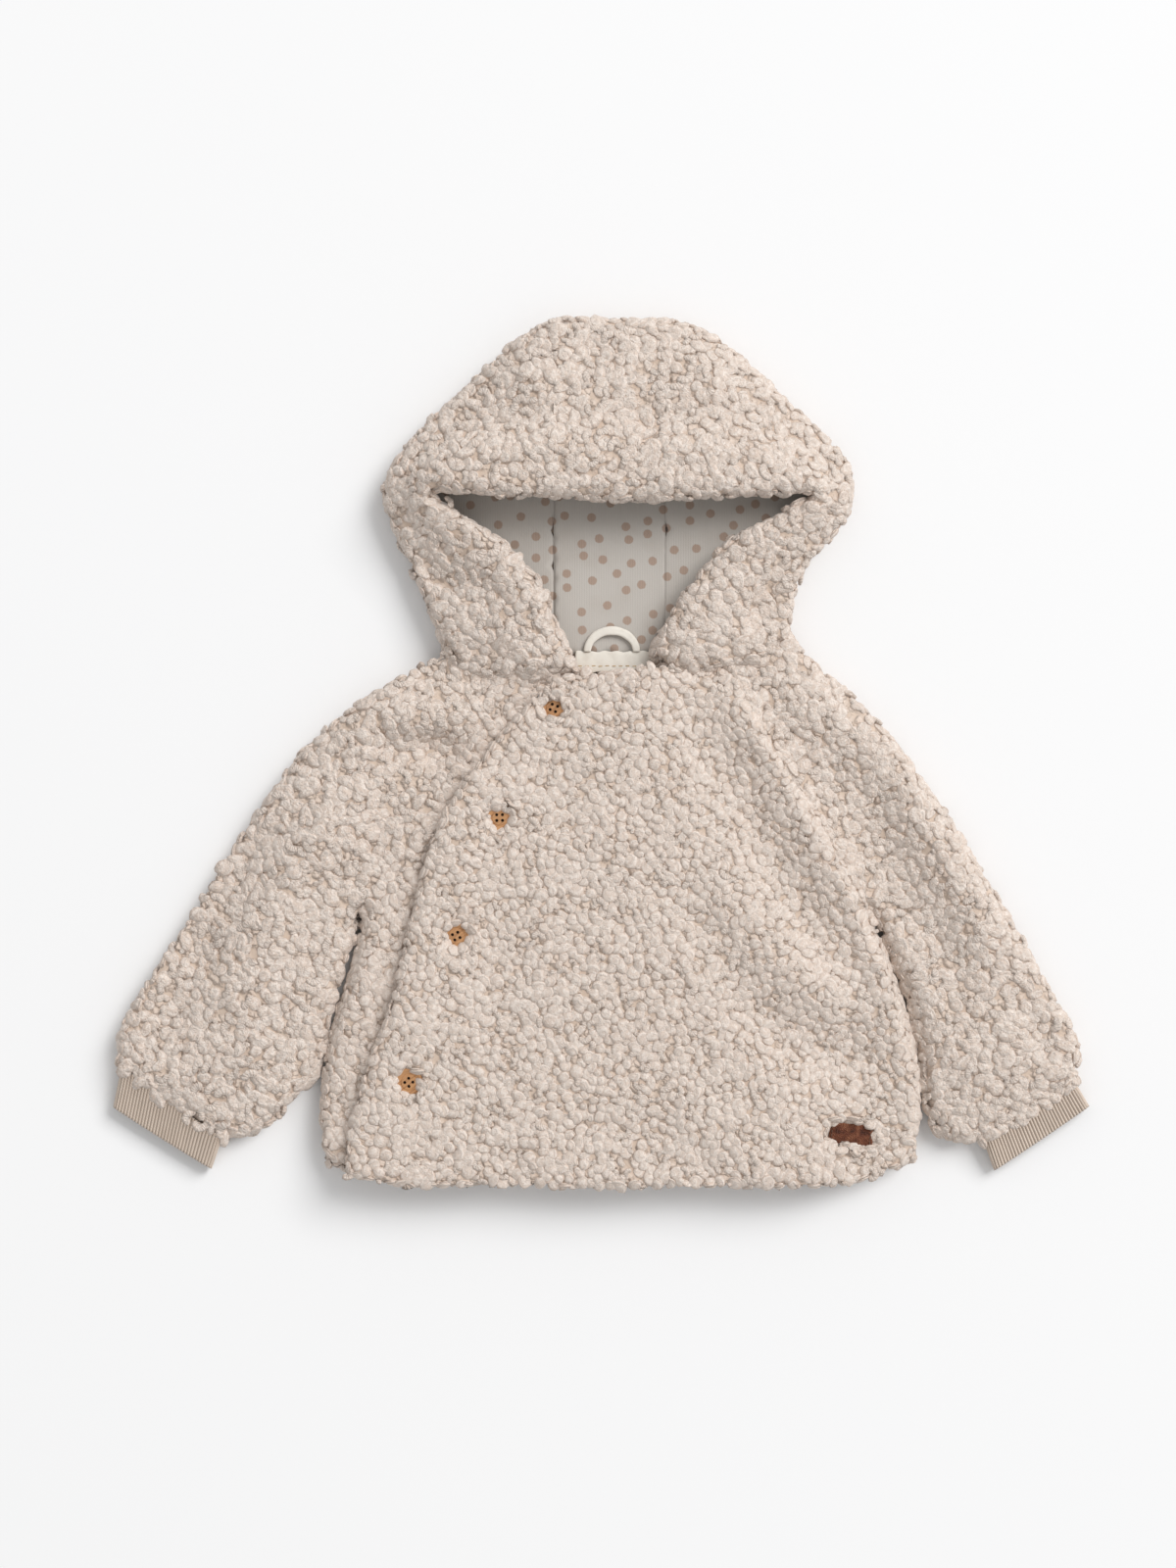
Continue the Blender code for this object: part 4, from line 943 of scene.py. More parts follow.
class CurlStock:
    """Ready-made curls for the pile to pick from."""

    def __init__(self, kind: CurlKind, rings: int, sides: int) -> None:
        """Makes three curls of every shape, in a collection outside the scene.

        Args:
            kind: The shapes.
            rings: Cross-sections of a curl.
            sides: Points round a strand.
        """
        self.group = bpy.data.collections.new(kind.name.lower())
        for number, shape in enumerate(kind.value):
            for turn in range(3):
                name = f"{kind.name.lower()}_{number}_{turn}"
                mesh = shape.mesh(name, rings, sides, 31 * number + 7 * turn + 3)
                self.group.objects.link(bpy.data.objects.new(name, mesh))

    def clear(self) -> None:
        """Removes the curls once the pile is made."""
        for item in list(self.group.objects):
            mesh = item.data
            bpy.data.objects.remove(item)
            bpy.data.meshes.remove(mesh)
        bpy.data.collections.remove(self.group)


class PileTree(Nodes):
    """Geometry Nodes that stand curls on a cloth."""

    INPUTS = {"Curls": "Collection", "Finish": "Material", "Mask": "String", "Spacing": "Float",
              "Lean": "Float", "Height": "Float", "Low Y": "Float", "High Y": "Float", "Seed": "Int"}

    def __init__(self) -> None:
        """Builds the tree once; every piece of cloth uses it."""
        self.tree = bpy.data.node_groups.new("curl_pile", "GeometryNodeTree")
        super().__init__(self.tree)
        face = self.tree.interface
        face.new_socket("Cloth", in_out="INPUT", socket_type="NodeSocketGeometry")
        self.sockets = {}
        for name, kind in self.INPUTS.items():
            socket = face.new_socket(name, in_out="INPUT", socket_type="NodeSocket" + kind)
            self.sockets[name] = socket.identifier
        face.new_socket("Pile", in_out="OUTPUT", socket_type="NodeSocketGeometry")
        start = self.node("NodeGroupInput").outputs
        self.given = {name: Value(self, start[name]) for name in ("Cloth", *self.INPUTS)}
        realized = self.output("GeometryNodeRealizeInstances", 0, {}, {0: self.stand(self.scatter())})
        dressed = self.output("GeometryNodeSetMaterial", 0, {}, {0: realized, 2: self.given["Finish"]})
        self.node("NodeGroupOutput", {}, {0: dressed})

    def named(self, name: Value | str, kind: str) -> Value:
        """A named attribute."""
        return self.output("GeometryNodeInputNamedAttribute", 0, {"data_type": kind}, {0: name})

    def store(self, flow: Value, name: str, value: Value, kind: str, domain: str) -> Value:
        """The flow with a value stored on it as an attribute."""
        return self.output("GeometryNodeStoreNamedAttribute", 0, {"data_type": kind, "domain": domain},
                           {"Geometry": flow, "Name": name, "Value": value})

    def random(self, low: float | Colour, high: float | Colour, offset: int) -> Value:
        """A random number or vector for each curl, with its own seed.

        Args:
            low: Least number or vector.
            high: Greatest one.
            offset: Keeps its draws apart from the others'.

        Returns:
            The value.
        """
        kind, first, output = ("FLOAT", 2, 1) if isinstance(low, float) else ("FLOAT_VECTOR", 0, 0)
        return self.output("FunctionNodeRandomValue", output, {"data_type": kind},
                           {first: low, first + 1: high, "Seed": self.given["Seed"] + float(offset)})

    def scatter(self) -> Value:
        """Even but unordered points on the masked faces, within a band along the jacket.

        Returns:
            The points.
        """
        given = self.given
        bearing = self.output("GeometryNodeSeparateGeometry", 0, {"domain": "FACE"},
                              {0: given["Cloth"], 1: self.named(given["Mask"], "FLOAT")})
        spread = self.node("GeometryNodeDistributePointsOnFaces", {"distribute_method": "POISSON"}, {
            "Mesh": bearing, "Distance Min": given["Spacing"], "Density Max": given["Spacing"] ** -2.0 * 20.0,
            "Seed": given["Seed"]}).outputs
        points, normal, turn = (Value(self, spread[name]) for name in ("Points", "Normal", "Rotation"))
        points = self.store(points, "stand", turn, "QUATERNION", "POINT")
        points = self.store(points, "faced", normal, "FLOAT_VECTOR", "POINT")
        _, y, _ = self.split(self.output("GeometryNodeInputPosition", 0))
        out = (y < given["Low Y"]) + (y > given["High Y"])
        return self.output("GeometryNodeDeleteGeometry", 0, {"domain": "POINT"}, {0: points, 1: out})

    def stand(self, points: Value) -> Value:
        """A curl of random shape, size, spin and lean at every point.

        Args:
            points: Where the curls stand.

        Returns:
            The curls, as instances.
        """
        lean = self.random((-1.0, -1.0, 0.0), (1.0, 1.0, 0.0), 11)
        spin = self.random((0.0, 0.0, 0.0), (0.0, 0.0, math.tau), 23)
        leaned = self.output("ShaderNodeVectorMath", 0, {"operation": "SCALE"},
                             {0: lean, "Scale": self.given["Lean"]})
        euler = self.output("ShaderNodeVectorMath", 0, {"operation": "ADD"}, {0: leaned, 1: spin})
        local = self.output("FunctionNodeEulerToRotation", 0, {}, {0: euler})
        full = self.output("FunctionNodeRotateRotation", 0, {"rotation_space": "LOCAL"},
                           {0: self.named("stand", "QUATERNION"), 1: local})
        scale = self.named("curl_size", "FLOAT") * self.random(0.84, 1.26, 37)
        stock = self.output("GeometryNodeCollectionInfo", 0, {}, {
            "Collection": self.given["Curls"], "Separate Children": True, "Reset Children": True})
        placed = self.output("GeometryNodeInstanceOnPoints", 0, {}, {
            "Points": points, "Instance": stock, "Pick Instance": True, "Rotation": full,
            "Scale": self.join(scale, scale, scale * self.given["Height"]),
            "Instance Index": self.random(0.0, 997.0, 53)})
        tinted = self.store(placed, "tint", self.random(0.0, 1.0, 71), "FLOAT", "INSTANCE")
        faced = self.named("faced", "FLOAT_VECTOR")
        return self.store(tinted, "cloth_normal", faced, "FLOAT_VECTOR", "INSTANCE")


@dataclass
class Pile:
    """The curls on one side of one cloth; spacing and bands in mm, lean in degrees."""
    name: str
    mask: str
    spacing: float
    stock: CurlStock
    finish: Material
    lean: float = 18.0
    height: float = 0.60
    bands: Sequence[float] = (-1000.0, 1000.0)
    seed: int = 5
    casts: bool = False
    floor: float = 0.0003

    def grow(self, cloth: Mesh, tree: PileTree) -> list[Object]:
        """Grows the curls on a cloth.

        Args:
            cloth: The backing, with its masks.
            tree: The pile's Geometry Nodes.

        Returns:
            One piece for each band along the jacket.
        """
        pieces = []
        for number, (low, high) in enumerate(zip(self.bands, self.bands[1:])):
            carrier = linked("carrier", cloth)
            growth = carrier.modifiers.new("curls", "NODES")
            growth.node_group = tree.tree
            values = {"Curls": self.stock.group, "Finish": self.finish, "Mask": self.mask,
                      "Spacing": self.spacing * MM, "Lean": math.radians(self.lean), "Height": self.height,
                      "Low Y": low * MM, "High Y": high * MM, "Seed": self.seed}
            for key, value in values.items():
                growth[tree.sockets[key]] = value
            mesh = evaluated(carrier)
            bpy.data.objects.remove(carrier)
            self.press(mesh)
            name = self.name if len(self.bands) == 2 else f"{self.name}_{number + 1}"
            pieces.append(add_piece(name, mesh, self.finish))
            pieces[-1].visible_shadow = self.casts    # open wool lets light through to its neighbours
        return pieces

    def press(self, mesh: Mesh) -> None:
        """Presses what would pass through the table flat on it.

        Args:
            mesh: The pile of one cloth.
        """
        for vert in mesh.vertices:
            if vert.co.z < self.floor:
                vert.co.z = self.floor - vert.co.z * 0.02
        mesh.update()


class Strip(NamedTuple):
    """A narrow band for curls: its two lines in mm, and whether they are closed."""
    inner: Sequence[Vector]
    outer: Sequence[Vector]
    closed: bool = True


@dataclass
class EdgeCurls:
    """Curls on narrow strips, which lean over the edge of the piece beside them."""
    name: str
    spacing: float = 2.9
    size: float = 0.95
    lean: float = 38.0
    seed: int = 91
    casts: bool = True

    def build(self, strips: Sequence[Strip], stock: CurlStock, finish: Material, tree: PileTree,
              turn_out: bool = False) -> None:
        """Grows the curls.

        Args:
            strips: Where they grow.
            stock: The curls.
            finish: Their material.
            tree: The pile's Geometry Nodes.
            turn_out: Turns the strips' faces outward first.
        """
        bm = bmesh.new()
        mask = bm.faces.layers.float.new("curl_top")
        size = bm.verts.layers.float.new("curl_size")
        for strip in strips:
            inner, outer = ([bm.verts.new(point * MM) for point in line] for line in strip[:2])
            for vert in inner + outer:
                vert[size] = self.size
            for k in range(len(inner) if strip.closed else len(inner) - 1):
                n = (k + 1) % len(inner)
                bm.faces.new((outer[k], outer[n], inner[n], inner[k]))[mask] = 1.0
        if turn_out:
            bmesh.ops.recalc_face_normals(bm, faces=bm.faces)
        cloth = mesh_from(self.name, bm)
        Pile(self.name, "curl_top", self.spacing, stock, finish, lean=self.lean, seed=self.seed,
             casts=self.casts).grow(cloth, tree)
        bpy.data.meshes.remove(cloth)


@dataclass
class Openings:
    """Places where the pile parts round a button, the label and the tape, in mm."""
    inner: tuple[float, float, float, float] = (6.6, 9.9, 8.4, 9.8)
    wall: float = 2.2
    on_rim: float = 2.9
    beside: float = 1.4
    label_half: tuple[float, float] = (14.6, 8.6)
    label_turn: float = -5.0
    tape_line: Sequence[tuple[float, float]] = (
        (-18.4, 51.0), (-17.4, 46.0), (-14.0, 42.4), (-6.0, 41.3), (5.0, 40.9), (18.0, 41.4), (27.0, 42.8),
        (31.4, 46.4), (32.6, 51.0))
    tape_height: float = 11.2

    def build(self, stock: CurlStock, finish: Material, tree: PileTree) -> None:
        """Grows the curls round all of them.

        Args:
            stock: The curls.
            finish: Their material.
            tree: The pile's Geometry Nodes.
        """
        rings = []
        for number, radius in enumerate(self.inner, 1):
            rings.append(self.ring(seat(f"button_{number}"), (radius, radius), 0.0, float(number)))
        EdgeCurls("button_side_curls").build(rings, stock, finish, tree)
        ring = self.ring(seat("label_leather") - UP * 0.6, self.label_half, self.label_turn, 2.4)
        EdgeCurls("label_side_curls", spacing=3.2, seed=33).build([ring], stock, finish, tree)
        inner = [Vector((x, y, self.tape_height)) for x, y in self.tape_line]
        outer = [Vector((x * 1.06 - 0.3, y - 2.6, self.tape_height - 0.8)) for x, y in self.tape_line]
        EdgeCurls("tape_side_curls", spacing=3.4, seed=12).build([Strip(inner, outer, False)], stock, finish,
                                                                 tree)

    def ring(self, middle: Vector, half: tuple[float, float], turn: float, phase: float) -> Strip:
        """A wavy ring round a round or long place.

        Args:
            middle: Its middle.
            half: Half sizes of the opening.
            turn: Its turn in plan, in degrees.
            phase: Shift of the waves.

        Returns:
            A strip with one line on the rim and one lower beside it.
        """
        turned = Matrix.Rotation(math.radians(turn), 3, "Z")
        lines: tuple[list[Vector], list[Vector]] = ([], [])
        for line, wide, rise in zip(lines, (0.0, self.wall), (self.on_rim, self.beside)):
            for k in range(32):
                angle = math.tau * k / 32
                wave = 1.0 + 0.07 * math.sin(3.0 * angle + phase) + 0.05 * math.sin(5.0 * angle + 2.0 * phase)
                spot = Vector((math.cos(angle) * (half[0] + wide), math.sin(angle) * (half[1] + wide), 0.0))
                line.append(middle + UP * rise + turned @ (spot * wave))
        return Strip(*lines)


# ---- cuffs
@dataclass
class Cuff:
    """Flattened tube of rib knit at the end of a sleeve, in mm."""
    node: str
    seam: Sequence[tuple[float, float]]
    end: Sequence[tuple[float, float]]
    cut: Cut = Cut(130.0, 24.0, 1.0)
    radius: float = 4.0
    start_height: float = 9.5
    end_height: float = 4.0
    ribs: int = 37
    rib_depth: float = 0.75
    per_rib: int = 6

    def rows(self) -> list[tuple[float, float, float]]:
        """Share along the cuff, size of the ring and depth of its ribs, from seam to inside."""
        outer = [(k / 16 * 0.97, 1.0 - 0.05 * math.sin(math.pi * k / 16), 1.0) for k in range(17)]
        lip = [(0.985, 0.97, 0.9), (1.0, 0.86, 0.7), (1.004, 0.70, 0.4), (0.99, 0.56, 0.2), (0.95, 0.48, 0.1)]
        return outer + lip + [(0.9 - 0.16 * k, 0.42, 0.0) for k in range(6)]

    @staticmethod
    def at(curve: Sequence[tuple[float, float]], share: float) -> Vector:
        """Point of a three-point curve at a share of it."""
        a, b, c = (Vector(p) for p in curve)
        middle = 2.0 * b - (a + c) / 2.0
        return a.lerp(middle, share).lerp(middle.lerp(c, share), share)

    def width(self, curve: Sequence[tuple[float, float]]) -> float:
        """Straight distance between the ends of a curve."""
        return (self.at(curve, 1.0) - self.at(curve, 0.0)).length

    def build(self, finish: Material) -> None:
        """Builds the knit tube with its ribs and rolled end.

        Args:
            finish: The knit's material.
        """
        bm = bmesh.new()
        uv = bm.loops.layers.uv.new("strand")
        columns = 2 * self.ribs * self.per_rib
        rings = []
        for along, swell, relief in self.rows():
            width = self.width(self.seam) * (1.0 - along) + self.width(self.end) * along
            middle = self.start_height + (self.end_height - self.start_height) * min(along, 1.0)
            rings.append([bm.verts.new(self.point(j / columns, along, swell, relief, width, middle) * MM)
                          for j in range(columns)])
        skin(bm, rings + [rings[0]], ends=False, uv=uv, pitch=(self.per_rib, 1.35))
        bmesh.ops.recalc_face_normals(bm, faces=bm.faces)
        piece = add_piece(self.node + "_knit", mesh_from(self.node, bm), finish, self.node)

    def edge_curls(self, stock: CurlStock, finish: Material, tree: PileTree) -> None:
        """Grows the sleeve's last curls, which hang over the knit.

        Args:
            stock: The curls.
            finish: Their material.
            tree: The pile's Geometry Nodes.
        """
        width = self.width(self.seam)
        outer, inner = ([self.point(j / 72, along, 1.0, 0.0, width, self.start_height - drop, 1.6)
                         for j in range(72)] for along, drop in ((-0.16, 0.0), (0.05, 0.275)))
        EdgeCurls(self.node.replace("cuff", "sleeve") + "_end_curls", 3.9, 1.0, 25.0, 17, False).build(
            [Strip(inner, outer)], stock, finish, tree, turn_out=True)

    def point(self, turn: float, along: float, swell: float, relief: float, width: float,
              middle: float, extra: float = 0.0) -> Vector:
        """Point of a ring.

        Args:
            turn: Share of the way from one side fold over the face and back below.
            along: Share of the way from the seam to the end.
            swell: Size of the ring.
            relief: Depth of its ribs, as a share.
            width: Width of the cuff there.
            middle: Height of the cuff's middle there.
            extra: Distance outside the knit.

        Returns:
            The point, in mm.
        """
        radius = self.radius * swell
        half = turn * 2.0 if turn < 0.5 else (1.0 - turn) * 2.0
        side = 1.0 if turn < 0.5 else -1.0
        arc = math.pi / 2 * radius
        path = 2.0 * arc + width - 2.0 * radius
        distance = path * half
        rib = math.sin(math.pi * half * self.ribs) ** 2
        wobble = 0.35 * noise.noise(Vector((turn * 34.0, along * 1.6, radius)))
        reach = radius + extra - self.rib_depth * relief * (1.0 - rib) ** 1.6 + wobble * relief
        if distance < arc:
            angle = distance / radius
            spot, out = radius, (-math.cos(angle), math.sin(angle))
        elif distance > path - arc:
            angle = (path - distance) / radius
            spot, out = width - radius, (math.cos(angle), math.sin(angle))
        else:
            spot, out = radius + distance - arc, (0.0, 1.0)
        share = (spot + out[0] * reach) / width
        start, end = self.at(self.seam, share), self.at(self.end, share)
        scallop = 0.35 * relief * rib if along > 0.95 else 0.0
        place = start.lerp(end, along) + (end - start).normalized() * scallop
        return Vector((place.x, place.y, max(middle + side * out[1] * reach, 0.15)))


# ---- hood lining
HOOD_SEAMS = (-26.0, 35.0)    # plan x of the seams beside the hood's middle panel, in mm


@dataclass
class Lining:
    """One jersey panel inside the hood, in mm."""
    node: str
    cut: Cut
    edge: float = 7.0

    def build(self, finish: Material) -> None:
        """Builds the thin jersey with its slight wrinkles.

        Args:
            finish: The jersey's material.
        """
        bm = bmesh.new()
        bm.from_mesh(frame["nodes"][self.node].data)
        bmesh.ops.remove_doubles(bm, verts=bm.verts, dist=2e-5)
        refine(bm, self.edge * MM)
        soften(bm, bm.verts, 0.4, 2)
        for vert in bm.verts:
            x = vert.co.x / MM
            lift = 0.3 * noise.noise(vert.co * 42.0)
            for seam in HOOD_SEAMS:
                if abs(x - seam) < 0.9:
                    outer = 0.0 if "centre" in self.node else math.copysign(0.7, seam)
                    vert.co.x = (seam - outer) * MM
                    lift -= 0.14
            vert.co.z += lift * MM
        piece = add_piece(self.node.replace("hood_", "") + "_jersey", mesh_from(self.node, bm), finish,
                          self.node)


# ---- trim
def stitch(bm: BMesh, start: Vector, end: Vector, radius: float, arch: float) -> None:
    """Adds one stitch: a short arched thread with round ends, all in mm.

    Args:
        bm: The mesh that it is added to.
        start: One end.
        end: The other end.
        radius: Of the thread.
        arch: Rise of its middle.
    """
    count, sides = 9, 8
    way = (end - start).normalized()
    side = way.cross(UP).normalized()
    up = side.cross(way)
    rings = []
    for k in range(count):
        s = k / (count - 1)
        centre = start.lerp(end, s) + up * (arch * math.sin(math.pi * s))
        thick = radius * round_end(s, 0.38, 0.0145)
        turns = [math.tau * j / sides for j in range(sides)]
        rings.append([bm.verts.new((centre + (side * math.cos(turn) + up * math.sin(turn)) * thick) * MM)
                      for turn in turns])
    skin(bm, rings)


@dataclass
class NeckTrim:
    """Cream tape over the back neck seam, with a hanging loop, in mm."""
    tape_x: tuple[float, float] = (-14.5, 29.5)
    tape_y: tuple[float, float] = (43.6, 55.6)
    base: float = 10.1
    thick: float = 1.0
    loop_x: float = 5.8
    loop_half: float = 13.4
    loop_rise: float = 10.9
    band: float = 4.8
    loop_thick: float = 2.0
    section: int = 20

    def build(self, cloth: Material, thread: Material) -> None:
        """Builds tape, loop and the few stitches that hold them.

        Args:
            cloth: Material of tape and loop.
            thread: Material of the stitches.
        """
        add_piece("neck_tape_cloth", self.tape(), cloth, "neck_tape")
        add_piece("hanger_loop_cloth", self.loop(), cloth, "hanger_loop")
        bm = bmesh.new()
        top = self.base + self.thick
        for k in range(11):
            x = self.tape_x[0] + 1.8 + 3.7 * k
            y = self.tape_y[0] + 3.6 + 0.12 * math.sin(x)
            stitch(bm, Vector((x, y, top - 0.02)), Vector((x + 2.3, y + 0.1, top)), 0.22, 0.16)
        add_piece("neck_tape_stitches", mesh_from("stitches", bm), thread)

    def tape(self) -> Mesh:
        """A flat strip with soft edges and a slight wave.

        Returns:
            Its mesh.
        """
        bm = bmesh.new()
        columns, rings = 60, []
        for k in range(columns + 1):
            s = k / columns
            x = self.tape_x[0] + (self.tape_x[1] - self.tape_x[0]) * s
            middle = sum(self.tape_y) / 2 + 0.18 * math.sin(x * 0.35)
            cap = round_end(s, 0.485, 0.000235, 0.03)
            half = (self.tape_y[1] - self.tape_y[0]) / 2 * (0.94 + 0.05 * math.sin(x * 0.9)) * cap
            ring = []
            for j in range(self.section):
                turn = math.tau * j / self.section
                across, up = bulge(math.cos(turn), 0.55), bulge(math.sin(turn), 0.8)
                ridge = 0.06 * math.sin(x * 0.8 + across * 2.0) * (up > 0)
                z = self.base + self.thick / 2 + self.thick / 2 * up * cap + ridge
                ring.append(bm.verts.new(Vector((x, middle + half * across, z)) * MM))
            rings.append(ring)
        skin(bm, rings)
        bmesh.ops.recalc_face_normals(bm, faces=bm.faces)
        return mesh_from("neck_tape_cloth", bm)

    def loop(self) -> Mesh:
        """A soft folded band that arches up from the tape.

        Returns:
            Its mesh.
        """
        bm = bmesh.new()
        steps, rings = 48, []
        foot = self.tape_y[1] - 0.6
        for k in range(steps + 1):
            angle = math.pi * k / steps
            cosine, sine = math.cos(angle), math.sin(angle)
            centre = Vector((self.loop_x - self.loop_half * cosine, foot + (self.loop_rise + 0.6) * sine,
                             self.base + self.loop_thick / 2))
            centre.z += 0.5 * sine + 0.12 * math.sin(angle * 5.0)
            across = Vector((-self.loop_rise * cosine, self.loop_half * sine, 0.0)).normalized()
            band = self.band * (0.80 + 0.2 * sine) * (1.0 + 0.03 * math.sin(angle * 9.0))
            ring = []
            for j in range(self.section):
                turn = math.tau * j / self.section
                out = bulge(math.cos(turn), 0.8)
                groove = 0.16 * math.exp(-((turn - math.pi / 2) * 4.0) ** 2)
                up = self.loop_thick / 2 * bulge(math.sin(turn), 0.85) - groove - out * (0.28 * sine)
                ring.append(bm.verts.new((centre + across * (band / 2 * out) + UP * up) * MM))
            rings.append(ring)
        skin(bm, rings)
        bmesh.ops.recalc_face_normals(bm, faces=bm.faces)
        return mesh_from("hanger_loop_cloth", bm)


@dataclass
class WoodButton:
    """Turned button with a dished face and four holes, in mm."""
    number: int
    radius: float = 8.0
    thick: float = 3.0
    dish: float = 0.7
    hole: float = 0.85
    hole_offset: float = 2.2
    turn: float = 23.0

    def profile(self) -> list[tuple[float, float]]:
        """Half section, from the middle below round the rim to the middle above.

        Returns:
            Distance from the middle and height, for each point.
        """
        r, rim, floor = self.radius, self.thick, self.thick - self.dish
        return [(0.0, 0.0), (r - 1.6, 0.0), (r - 0.6, 0.35), (r - 0.1, 1.1), (r, 1.7), (r - 0.15, rim - 0.55),
                (r - 0.5, rim - 0.15), (r - 1.0, rim), (r - 1.6, rim - 0.08), (r - 2.1, rim - 0.35),
                (r - 2.6, floor), (r - 3.2, floor - 0.05), (r - 3.45, floor - 0.35), (r - 3.75, floor - 0.35),
                (r - 4.0, floor - 0.08), (0.0, floor - 0.1)]

    def build(self, wood: Material, thread: Material) -> None:
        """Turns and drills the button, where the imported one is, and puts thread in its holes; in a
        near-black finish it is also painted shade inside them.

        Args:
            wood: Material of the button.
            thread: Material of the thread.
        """
        node = f"button_{self.number}"
        place = Matrix.Translation(seat(node) * MM) @ Matrix.Scale(MM, 4)
        angles = [math.tau * k / 4 + math.radians(self.turn * self.number) for k in range(4)]
        holes = [Vector((math.cos(angle), math.sin(angle), 0.0)) * self.hole_offset for angle in angles]
        bm = bmesh.new()
        verts = [bm.verts.new((x, 0.0, z)) for x, z in self.profile()]
        edges = [bm.edges.new(pair) for pair in zip(verts, verts[1:])]
        bmesh.ops.spin(bm, geom=verts + edges, axis=(0, 0, 1), cent=(0, 0, 0), steps=64, angle=math.tau,
                       use_merge=True)
        bmesh.ops.remove_doubles(bm, verts=bm.verts, dist=0.001)
        bmesh.ops.recalc_face_normals(bm, faces=bm.faces)
        disc = linked("blank", mesh_from("blank", bm))
        drill, knots = bmesh.new(), bmesh.new()
        for hole in holes:
            bmesh.ops.create_cone(drill, cap_ends=True, segments=20, radius1=self.hole, radius2=self.hole,
                                  depth=20.0, matrix=Matrix.Translation(hole))
            # thread knots that nearly fill the holes: thread, and in near-black also painted shade inside
            # them
            flat = Matrix.Translation(hole + UP * 0.6) @ Matrix.Diagonal((1.0, 1.0, 0.5, 1.0))
            bmesh.ops.create_icosphere(knots, subdivisions=2, radius=self.hole * 0.94, matrix=flat)
        cutter = linked("drill", mesh_from("drill", drill))
        cut = disc.modifiers.new("holes", "BOOLEAN")
        cut.object, cut.operation, cut.solver = cutter, "DIFFERENCE", "EXACT"
        mesh = evaluated(disc)
        for item in (disc, cutter):
            bpy.data.objects.remove(item)
        mesh.transform(place)
        mesh.set_sharp_from_angle(angle=math.radians(40.0))
        add_piece(f"{node}_turned", mesh, wood, node)
        mesh = mesh_from("knots", knots)
        mesh.transform(place)
        add_piece(f"{node}_thread", mesh, thread)


@dataclass
class LeatherLabel:
    """Bare leather patch on the lower front, sewn down at its two ends, in mm."""
    length: float = 24.0
    height: float = 12.0
    thick: float = 1.3
    turn: float = -5.0
    columns: int = 48
    rows: int = 24

    def build(self, leather: Material, thread: Material) -> None:
        """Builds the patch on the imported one's plane, and its end stitches.

        Args:
            leather: Material of the patch.
            thread: Material of the stitches.
        """
        low, high = (Vector(corner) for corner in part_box("label_leather"))
        matrix = Matrix.Translation((low + high) / 2) @ Matrix.Rotation(math.radians(self.turn), 4, "Z")
        bm = bmesh.new()
        rim = bm.verts.layers.float.new("rim")
        columns, rows = self.columns, self.rows
        top, under = ([[self.point(bm, 2.0 * i / columns - 1.0, 2.0 * j / rows - 1.0, face, rim)
                        for j in range(rows + 1)] for i in range(columns + 1)] for face in (1.0, -1.0))
        for i in range(columns):
            for j in range(rows):
                bm.faces.new((top[i][j], top[i + 1][j], top[i + 1][j + 1], top[i][j + 1]))
                bm.faces.new((under[i][j], under[i][j + 1], under[i + 1][j + 1], under[i + 1][j]))
        border = ([(i, 0) for i in range(columns)] + [(columns, j) for j in range(rows)]
                  + [(columns - i, rows) for i in range(columns)] + [(0, rows - j) for j in range(rows)])
        for (a, b), (c, d) in zip(border, border[1:] + border[:1]):
            bm.faces.new((top[a][b], under[a][b], under[c][d], top[c][d]))
        bmesh.ops.recalc_face_normals(bm, faces=bm.faces)
        mesh = mesh_from("label", bm)
        mesh.transform(matrix)
        mesh.set_sharp_from_angle(angle=math.radians(50.0))
        add_piece("label_leather_patch", mesh, leather, "label_leather")
        seams = bmesh.new()
        for x in (1.5 - self.length / 2, self.length / 2 - 1.5):
            for k in range(4):
                y = -4.2 + 2.2 * k
                stitch(seams, Vector((x, y, 1.05)), Vector((x, y + 1.6, 1.05)), 0.22, 0.14)
        mesh = mesh_from("label_stitches", seams)
        mesh.transform(matrix)
        add_piece("label_stitches", mesh, thread)

    def point(self, bm: BMesh, u: float, v: float, face: float, rim: object) -> BMVert:
        """Adds one point of the patch.

        Args:
            bm: The mesh that it is added to.
            u: Place along the patch, from -1 to 1.
            v: Place across it, from -1 to 1.
            face: 1 for the upper face, -1 for the lower one.
            rim: Layer for the share of edge wear.

        Returns:
            The point.
        """
        x, y = u * self.length / 2, v * self.height / 2
        corner = max(abs(u) - 0.88, 0.0) * max(abs(v) - 0.76, 0.0)
        x -= math.copysign(corner * 22.0, u)
        y -= math.copysign(corner * 22.0, v)
        y *= 1.0 + 0.02 * math.sin(x * 0.9) - 0.04 * (1.0 - u * u)
        edge = max(abs(u), abs(v) * 0.98)
        drop = 0.32 * max(edge - 0.93, 0.0) / 0.07
        bow = 0.45 * (1.0 - u * u) + 0.12 * math.sin(x * 0.7 + y * 0.5)
        vert = bm.verts.new(Vector((x, y, face * (self.thick / 2 - drop) + bow)) * MM)
        vert[rim] = min(max((edge - 0.9) / 0.1, 0.0), 1.0)
        return vert


